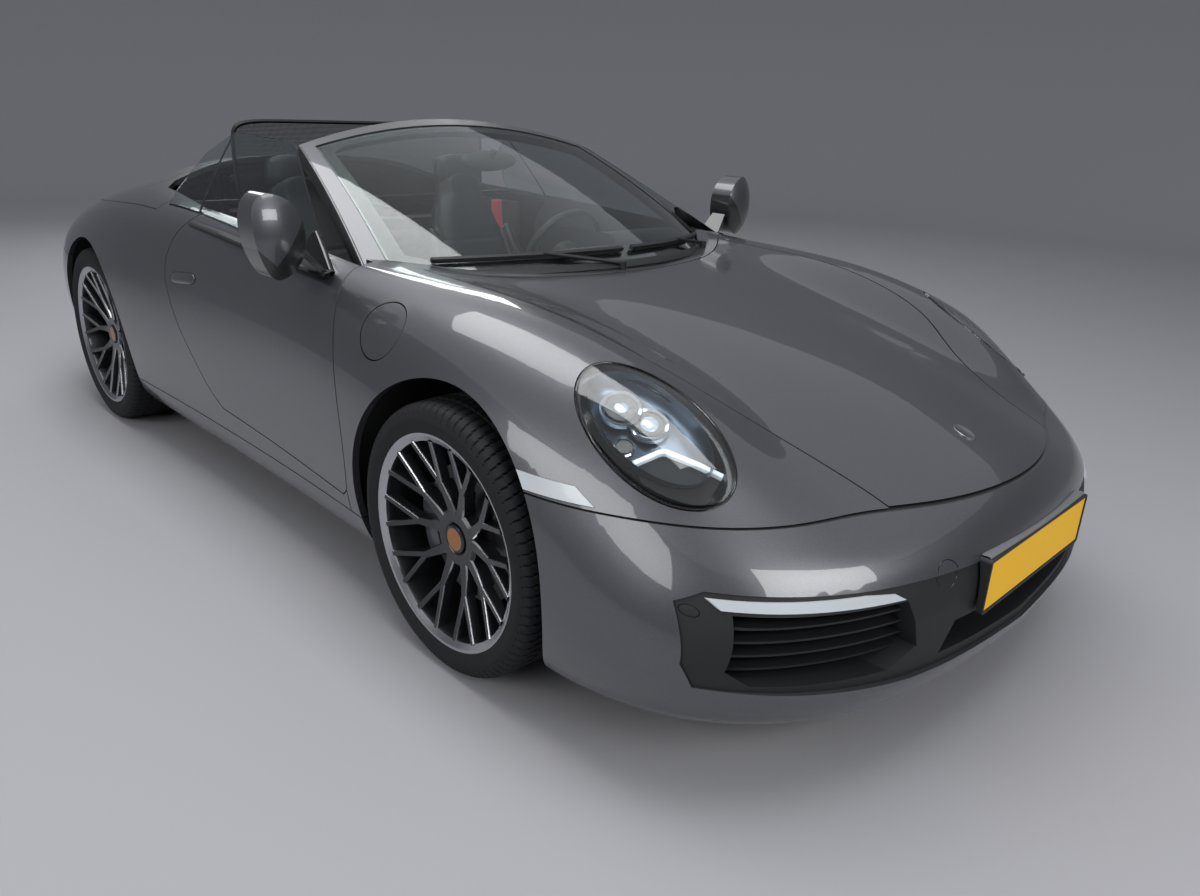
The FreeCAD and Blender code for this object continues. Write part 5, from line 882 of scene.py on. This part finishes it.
turn = circle(120)
section = circle(20)[:, None]
thumb = 0.0022 * (np.exp(-((turn - 0.45) / 0.16) ** 2) + np.exp(-((turn - np.pi + 0.45) / 0.16) ** 2))
grip = 0.0136 + thumb * 0.6
rim = on_steering(RIM_RADIUS + grip * np.cos(section) * 0.92, turn, grip * np.sin(section))
wheel = piece("steering_rim", [patch(rim, True, True)], leather, "steering_wheel")
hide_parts("steering_wheel")
oval = 1 + 0.05 * np.cos(2 * turn)
boss = [on_steering(radius * oval, turn, depth) for radius, depth in
        ((0.0, -0.0115), (0.030, -0.0112), (0.050, -0.0085), (0.060, -0.001), (0.0615, 0.012),
         (0.061, 0.040), (0.055, 0.060), (0.024, 0.068))]
piece("steering_boss", [ringed(boss)], leather, "steering_wheel")
spokes, inlays = [], []
for degrees in (0, 180, 270):
    angle = math.radians(degrees)
    reach = ACROSS * math.cos(angle) + WHEEL_UP * math.sin(angle)
    for bars, near, near_depth, far, far_depth, wide, high in (
            (spokes, 0.045, 0.011, 0.170, 0.010, 0.013, 0.042),
            (inlays, 0.064, 0.0045, 0.155, 0.0040, 0.003, 0.022)):
        bars.append(bar(HUB + reach * near + COLUMN * near_depth, HUB + reach * far + COLUMN * far_depth,
                        np.cross(reach, COLUMN), wide, high))
piece("steering_spokes", spokes, soft_black, "steering_wheel")
piece("steering_inlays", inlays, satin_metal, "steering_wheel")

# Door linings: leather-skinned panels with an armrest, a pull handle, a speaker and a pocket.
LINING_FACE = 0.7415
BACK, FRONT, BOTTOM, TOP = -0.335, 0.455, 0.365, 0.835
x, z = np.meshgrid(np.linspace(BACK, FRONT, 80), np.linspace(BOTTOM, TOP, 48), indexing="ij")
rest = np.exp(-(((z - 0.615) / 0.034) ** 4)) * np.exp(-(((x - 0.03) / 0.30) ** 8))
pocket = np.exp(-(((z - 0.455) / 0.070) ** 6)) * np.exp(-(((x - 0.08) / 0.30) ** 10))
edge_x = np.clip(np.minimum(x - BACK, FRONT - x) / 0.012, 0, 1)
edge_z = np.clip(np.minimum(z - BOTTOM, TOP - z) / 0.012, 0, 1)
inward = LINING_FACE - 0.0055 * np.sqrt(edge_x * edge_z) - 0.046 * rest - 0.022 * pocket
for side, name in SIDES:
    card = piece("door_lining_" + name, [patch(np.stack([x, side * inward, z], -1))], leather, "door_" + name)
    speaker = disc((0.375, side * 0.7385, 0.455), (0, -side, 0),
                   [(0.062, 0.0), (0.062, 0.006), (0.055, 0.008), (0.0, 0.010)])
    piece("door_speaker_" + name, [speaker], black_plastic, "door_" + name)
    grasp = bar((0.245, side * 0.722, 0.690), (0.385, side * 0.722, 0.715), UP, 0.010, 0.014)
    piece("door_pull_" + name, [grasp], satin_metal, "door_" + name)


# Wind deflector: a wire-edged frame on two pins, stretched with black netting behind the front seats.
# The net's threads stand 4.5 mm apart, wider than the real ones, so that they show.
THREADS_APART = 0.0045
netting = material("black woven netting", "#0b0c0d", Roughness=0.8)
tree, surface, place = surface_of(netting)
apart = add(tree, "ShaderNodeSeparateXYZ", {"Vector": place})
threads = []
for axis in ("Y", "Z"):
    turns = add(tree, "ShaderNodeMath", {0: apart.outputs[axis], 1: 2 * math.pi / THREADS_APART},
                operation="MULTIPLY")
    wave = add(tree, "ShaderNodeMath", {0: turns.outputs[0]}, operation="SINE")
    threads.append(add(tree, "ShaderNodeMath", {0: wave.outputs[0], 1: 0.30}, operation="GREATER_THAN"))
solid = add(tree, "ShaderNodeMath", {0: threads[0].outputs[0], 1: threads[1].outputs[0]},
            operation="MAXIMUM")
tree.links.new(solid.outputs[0], surface.inputs["Alpha"])
NET_X, NET_LEVEL = -0.512, 1.085
NET_HALF, NET_RISE = 0.552, 0.142
turn = circle(160)
loop_y, loop_z = NET_HALF * bowed(np.cos(turn), 0.16), NET_RISE * bowed(np.sin(turn), 0.28)
rows = [np.stack([np.full(160, NET_X + dx), loop_y * (1 - dr / NET_HALF),
                  NET_LEVEL + loop_z * (1 - dr / NET_RISE)], -1)
        for dx, dr in ((0, -0.007), (0.006, 0), (0, 0.007), (-0.006, 0))]
hoop = piece("wind_deflector_frame", [patch(np.stack(rows), True, True)], dark_metal, "body")
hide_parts("wind_deflector")
for side, name in SIDES:
    pin = pad([(-0.518, 0.946), (-0.506, 0.946)], [(0, 0.0895), (1, 0.0895)], [(0, 0.006), (1, 0.006)],
              side * 0.6295, power=8, rows=12, columns=40, blunt=12)
    piece("wind_deflector_pin_" + name, [pin], dark_metal, "body")
rings = [np.stack([np.full(160, NET_X), share * loop_y, NET_LEVEL + share * loop_z], -1)
         for share in np.linspace(0, 1, 9)]
net = piece("wind_deflector_net", [ringed(rings)], netting, "body")


# Door handles: painted flush levers in a shallow recess, with a dark gap round each.
def cast(nodes, way, starts):
    """The first places where rays from starts along way meet any of these CAD nodes, or None if a ray
    meets none."""
    places = []
    for start in starts:
        met = [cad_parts[n].ray_cast(Vector(start), Vector(way)) for n in nodes]
        found = sorted(((m[1] - Vector(start)).length, tuple(m[1])) for m in met if m[0])
        if not found:
            return None
        places.append(found[0][1])
    return np.array(places)


def swollen(ring, out, shares_heights):
    """The ring shrunk to shares of its size about its middle, each lifted by a height along out."""
    middle = ring.mean(0)
    return ringed([middle + (ring - middle) * share + out * height for share, height in shares_heights])


turn = circle(48)
round_x = -0.239 + 0.091 * bowed(np.cos(turn), 0.45)
round_z = 0.737 + 0.019 * bowed(np.sin(turn), 0.7) + 0.10 * (round_x + 0.239)
for side, name in SIDES:
    ring = cast(["door_" + name], (0, -side, 0), [(x, side * 1.2, z) for x, z in zip(round_x, round_z)])
    out = np.array([0, side, 0])
    gap = swollen(ring, out, ((1.05, 0.0004), (1.04, 0.0009), (0.98, 0.0009), (0.96, 0.0002)))
    piece("handle_gap_" + name, [gap], gloss_black, "door_" + name)
    lever = swollen(ring, out, ((0.97, 0.0002), (0.95, 0.0028), (0.82, 0.0044), (0.4, 0.0056), (0.0, 0.0060)))
    made = piece("door_handle_" + name, [lever], paint, "door_" + name)

# Nose: a blank oval badge, the cap over the towing eye, parking sensors and the plate's upper ledge.
turn = circle(64)
rings = [[(x, y, skin_level(x, y, "bonnet", "front_bumper", "front_body") + up) for x, y in
          zip(2.052 + 0.027 * share * np.cos(turn), 0.021 * share * np.sin(turn))]
         for share, up in ((1.0, 0.0002), (1.0, 0.0022), (0.94, 0.0030), (0.88, 0.0026), (0.0, 0.0026))]
badge = piece("blank_badge", [ringed(rings)], satin_metal, "bonnet")
turn = circle(40)
for y, z, radius, name in ((-0.364, 0.469, 0.030, "towing_eye_cap"), (-0.822, 0.440, 0.0105, "sensor_right"),
                           (0.822, 0.440, 0.0105, "sensor_left")):
    starts = [(2.6, y + radius * math.cos(t), z + radius * math.sin(t)) for t in turn]
    ring = cast(["front_bumper", "intake_grilles"], (-1, 0, 0), starts)
    middle = ring.mean(0)
    out = np.cross(ring[0] - middle, ring[10] - middle)
    out = out / np.linalg.norm(out)
    joint = swollen(ring, out, ((1.03, 0.0001), (1.02, 0.0006), (0.96, 0.0006), (0.95, 0.0001)))
    piece(name + "_joint", [joint], gloss_black, "body")
    if radius < 0.02:
        dome = swollen(ring, out, ((0.94, 0.0002), (0.92, 0.0012), (0.6, 0.0018), (0.0, 0.0020)))
        piece(name, [dome], black_plastic, "body")
s = np.linspace(-1, 1, 41)
ledge = [np.stack([2.2585 - 0.006 * s ** 2 + dx, 0.262 * s, 0.4885 - 0.004 * s ** 2 + dz], -1)
         for dx, dz in ((-0.014, -0.003), (-0.014, 0.003), (0.003, 0.004), (0.0065, 0.001), (0.0065, -0.003))]
ledge_grey = material("grey moulded plastic", "#6b6d70", Roughness=0.5)
shelf = piece("plate_ledge", [ribbed(ledge)], ledge_grey, "body")

# Brake callipers: cast iron painted grey, over the edge of each disc. The front ones turn with their
# knuckles.
caliper_grey = material("grey painted calliper", "#55575b", Metallic=0.3, Roughness=0.4, Coat_Weight=0.4)
for end, middle, level in (("front", math.pi + 0.25, 0.8175), ("rear", 0.25, 0.8080)):
    axle_x, _, radius = WHEELS[end][:3]
    angles = np.linspace(-0.42, 0.42, 20) + middle
    out, away = np.array([(0.000, 0.122), (0.016, 0.124), (0.020, 0.134), (0.020, 0.170), (0.014, 0.182),
                          (0.000, 0.184)]).T[..., None]
    for side, name in SIDES:
        face = np.stack([axle_x + away * np.cos(angles), side * (level + out) + 0 * angles,
                         radius + away * np.sin(angles)], -1)
        first, last = (np.repeat(face.mean(0)[k][None, None], len(face), 0) for k in (0, -1))
        block = piece("calliper_%s_%s" % (end, name), [patch(np.concatenate([first, face, last], 1), True)],
                      caliper_grey, "knuckle_" + name if end == "front" else "body")


# Studio: a pale plain floor that turns up into a round backdrop, a broad soft lamp overhead, softer
# ones at the front, the side and the back, and a level world light.
FLOOR_LEVEL = -0.0005
FLOOR_REACH, BACKDROP_BEND, BACKDROP_TOP = 10.0, 4.0, 9.0
floor_finish = material("matt grey studio floor", "#a3a3a7", Roughness=0.6, Specular_IOR_Level=0.25)
profile = [(0.0, FLOOR_LEVEL), (6.0, FLOOR_LEVEL), (FLOOR_REACH, FLOOR_LEVEL)]
profile += [(FLOOR_REACH + BACKDROP_BEND * math.sin(t), BACKDROP_BEND - BACKDROP_BEND * math.cos(t))
            for t in np.linspace(0, math.pi / 2, 14)[1:]]
profile.append((FLOOR_REACH + BACKDROP_BEND, BACKDROP_TOP))
turn = circle(96)
points, quads = ringed([np.stack([r * np.cos(turn), r * np.sin(turn), np.full(96, z)], -1)
                        for r, z in profile])
backdrop = bpy.data.meshes.new("studio_floor")
backdrop.from_pydata(points.tolist(), [], quads.tolist())
backdrop.shade_smooth()
backdrop.materials.append(floor_finish)
floor = bpy.data.objects.new("studio_floor", backdrop)
bpy.context.scene.collection.objects.link(floor)

world = bpy.data.worlds.new("studio")
bpy.context.scene.world = world
world.use_nodes = True
background = world.node_tree.nodes["Background"]
background.inputs["Color"].default_value = linear("#a2a3a8")
background.inputs["Strength"].default_value = 1.2


def lamp(name, place, target, wide, high, watts):
    """A rectangular soft lamp at a place, facing a target."""
    data = bpy.data.lights.new(name, "AREA")
    data.shape = "RECTANGLE"
    data.size, data.size_y = wide, high
    data.energy = watts
    made = bpy.data.objects.new(name, data)
    bpy.context.scene.collection.objects.link(made)
    made.location = place
    made.rotation_euler = (Vector(target) - Vector(place)).to_track_quat("-Z", "Y").to_euler()


lamp("lamp_overhead", (0.4, -0.7, 4.6), (0.4, -0.5, 0), 6.5, 2.2, 160)
lamp("lamp_front", (6.0, -1.0, 3.2), (1.2, 0, 0.5), 3.5, 1.6, 110)
lamp("lamp_right", (0.8, -6.0, 3.0), (0.4, 0, 0.5), 6.0, 1.6, 120)
lamp("lamp_back", (-5.5, 2.5, 3.4), (-0.6, 0, 0.6), 4.0, 1.6, 90)

# Camera: at the photograph's place and angle, with its slight tilt.
CAMERA_PLACE = (2.84931, -1.97631, 1.30548)
AZIMUTH, ELEVATION, ROLL = (math.radians(a) for a in (45.146, 20.615, 2.177))
FOCAL_PIXELS = 896.06
IMAGE_WIDTH = 1200
lens = bpy.data.cameras.new("camera")
lens.sensor_width = 36.0
lens.lens = FOCAL_PIXELS / IMAGE_WIDTH * lens.sensor_width
lens.clip_start = 0.05
camera = bpy.data.objects.new("camera", lens)
bpy.context.scene.collection.objects.link(camera)
back = Vector((math.sin(AZIMUTH) * math.cos(ELEVATION), -math.cos(AZIMUTH) * math.cos(ELEVATION),
               math.sin(ELEVATION)))
right = Vector((0, 0, 1)).cross(back).normalized()
upward = back.cross(right)
tilted_right = right * math.cos(ROLL) + upward * math.sin(ROLL)
tilted_up = upward * math.cos(ROLL) - right * math.sin(ROLL)
camera.matrix_world = Matrix((tilted_right, tilted_up, back)).transposed().to_4x4()
camera.location = CAMERA_PLACE
bpy.context.scene.camera = camera
bpy.context.scene.view_settings.view_transform = "Standard"
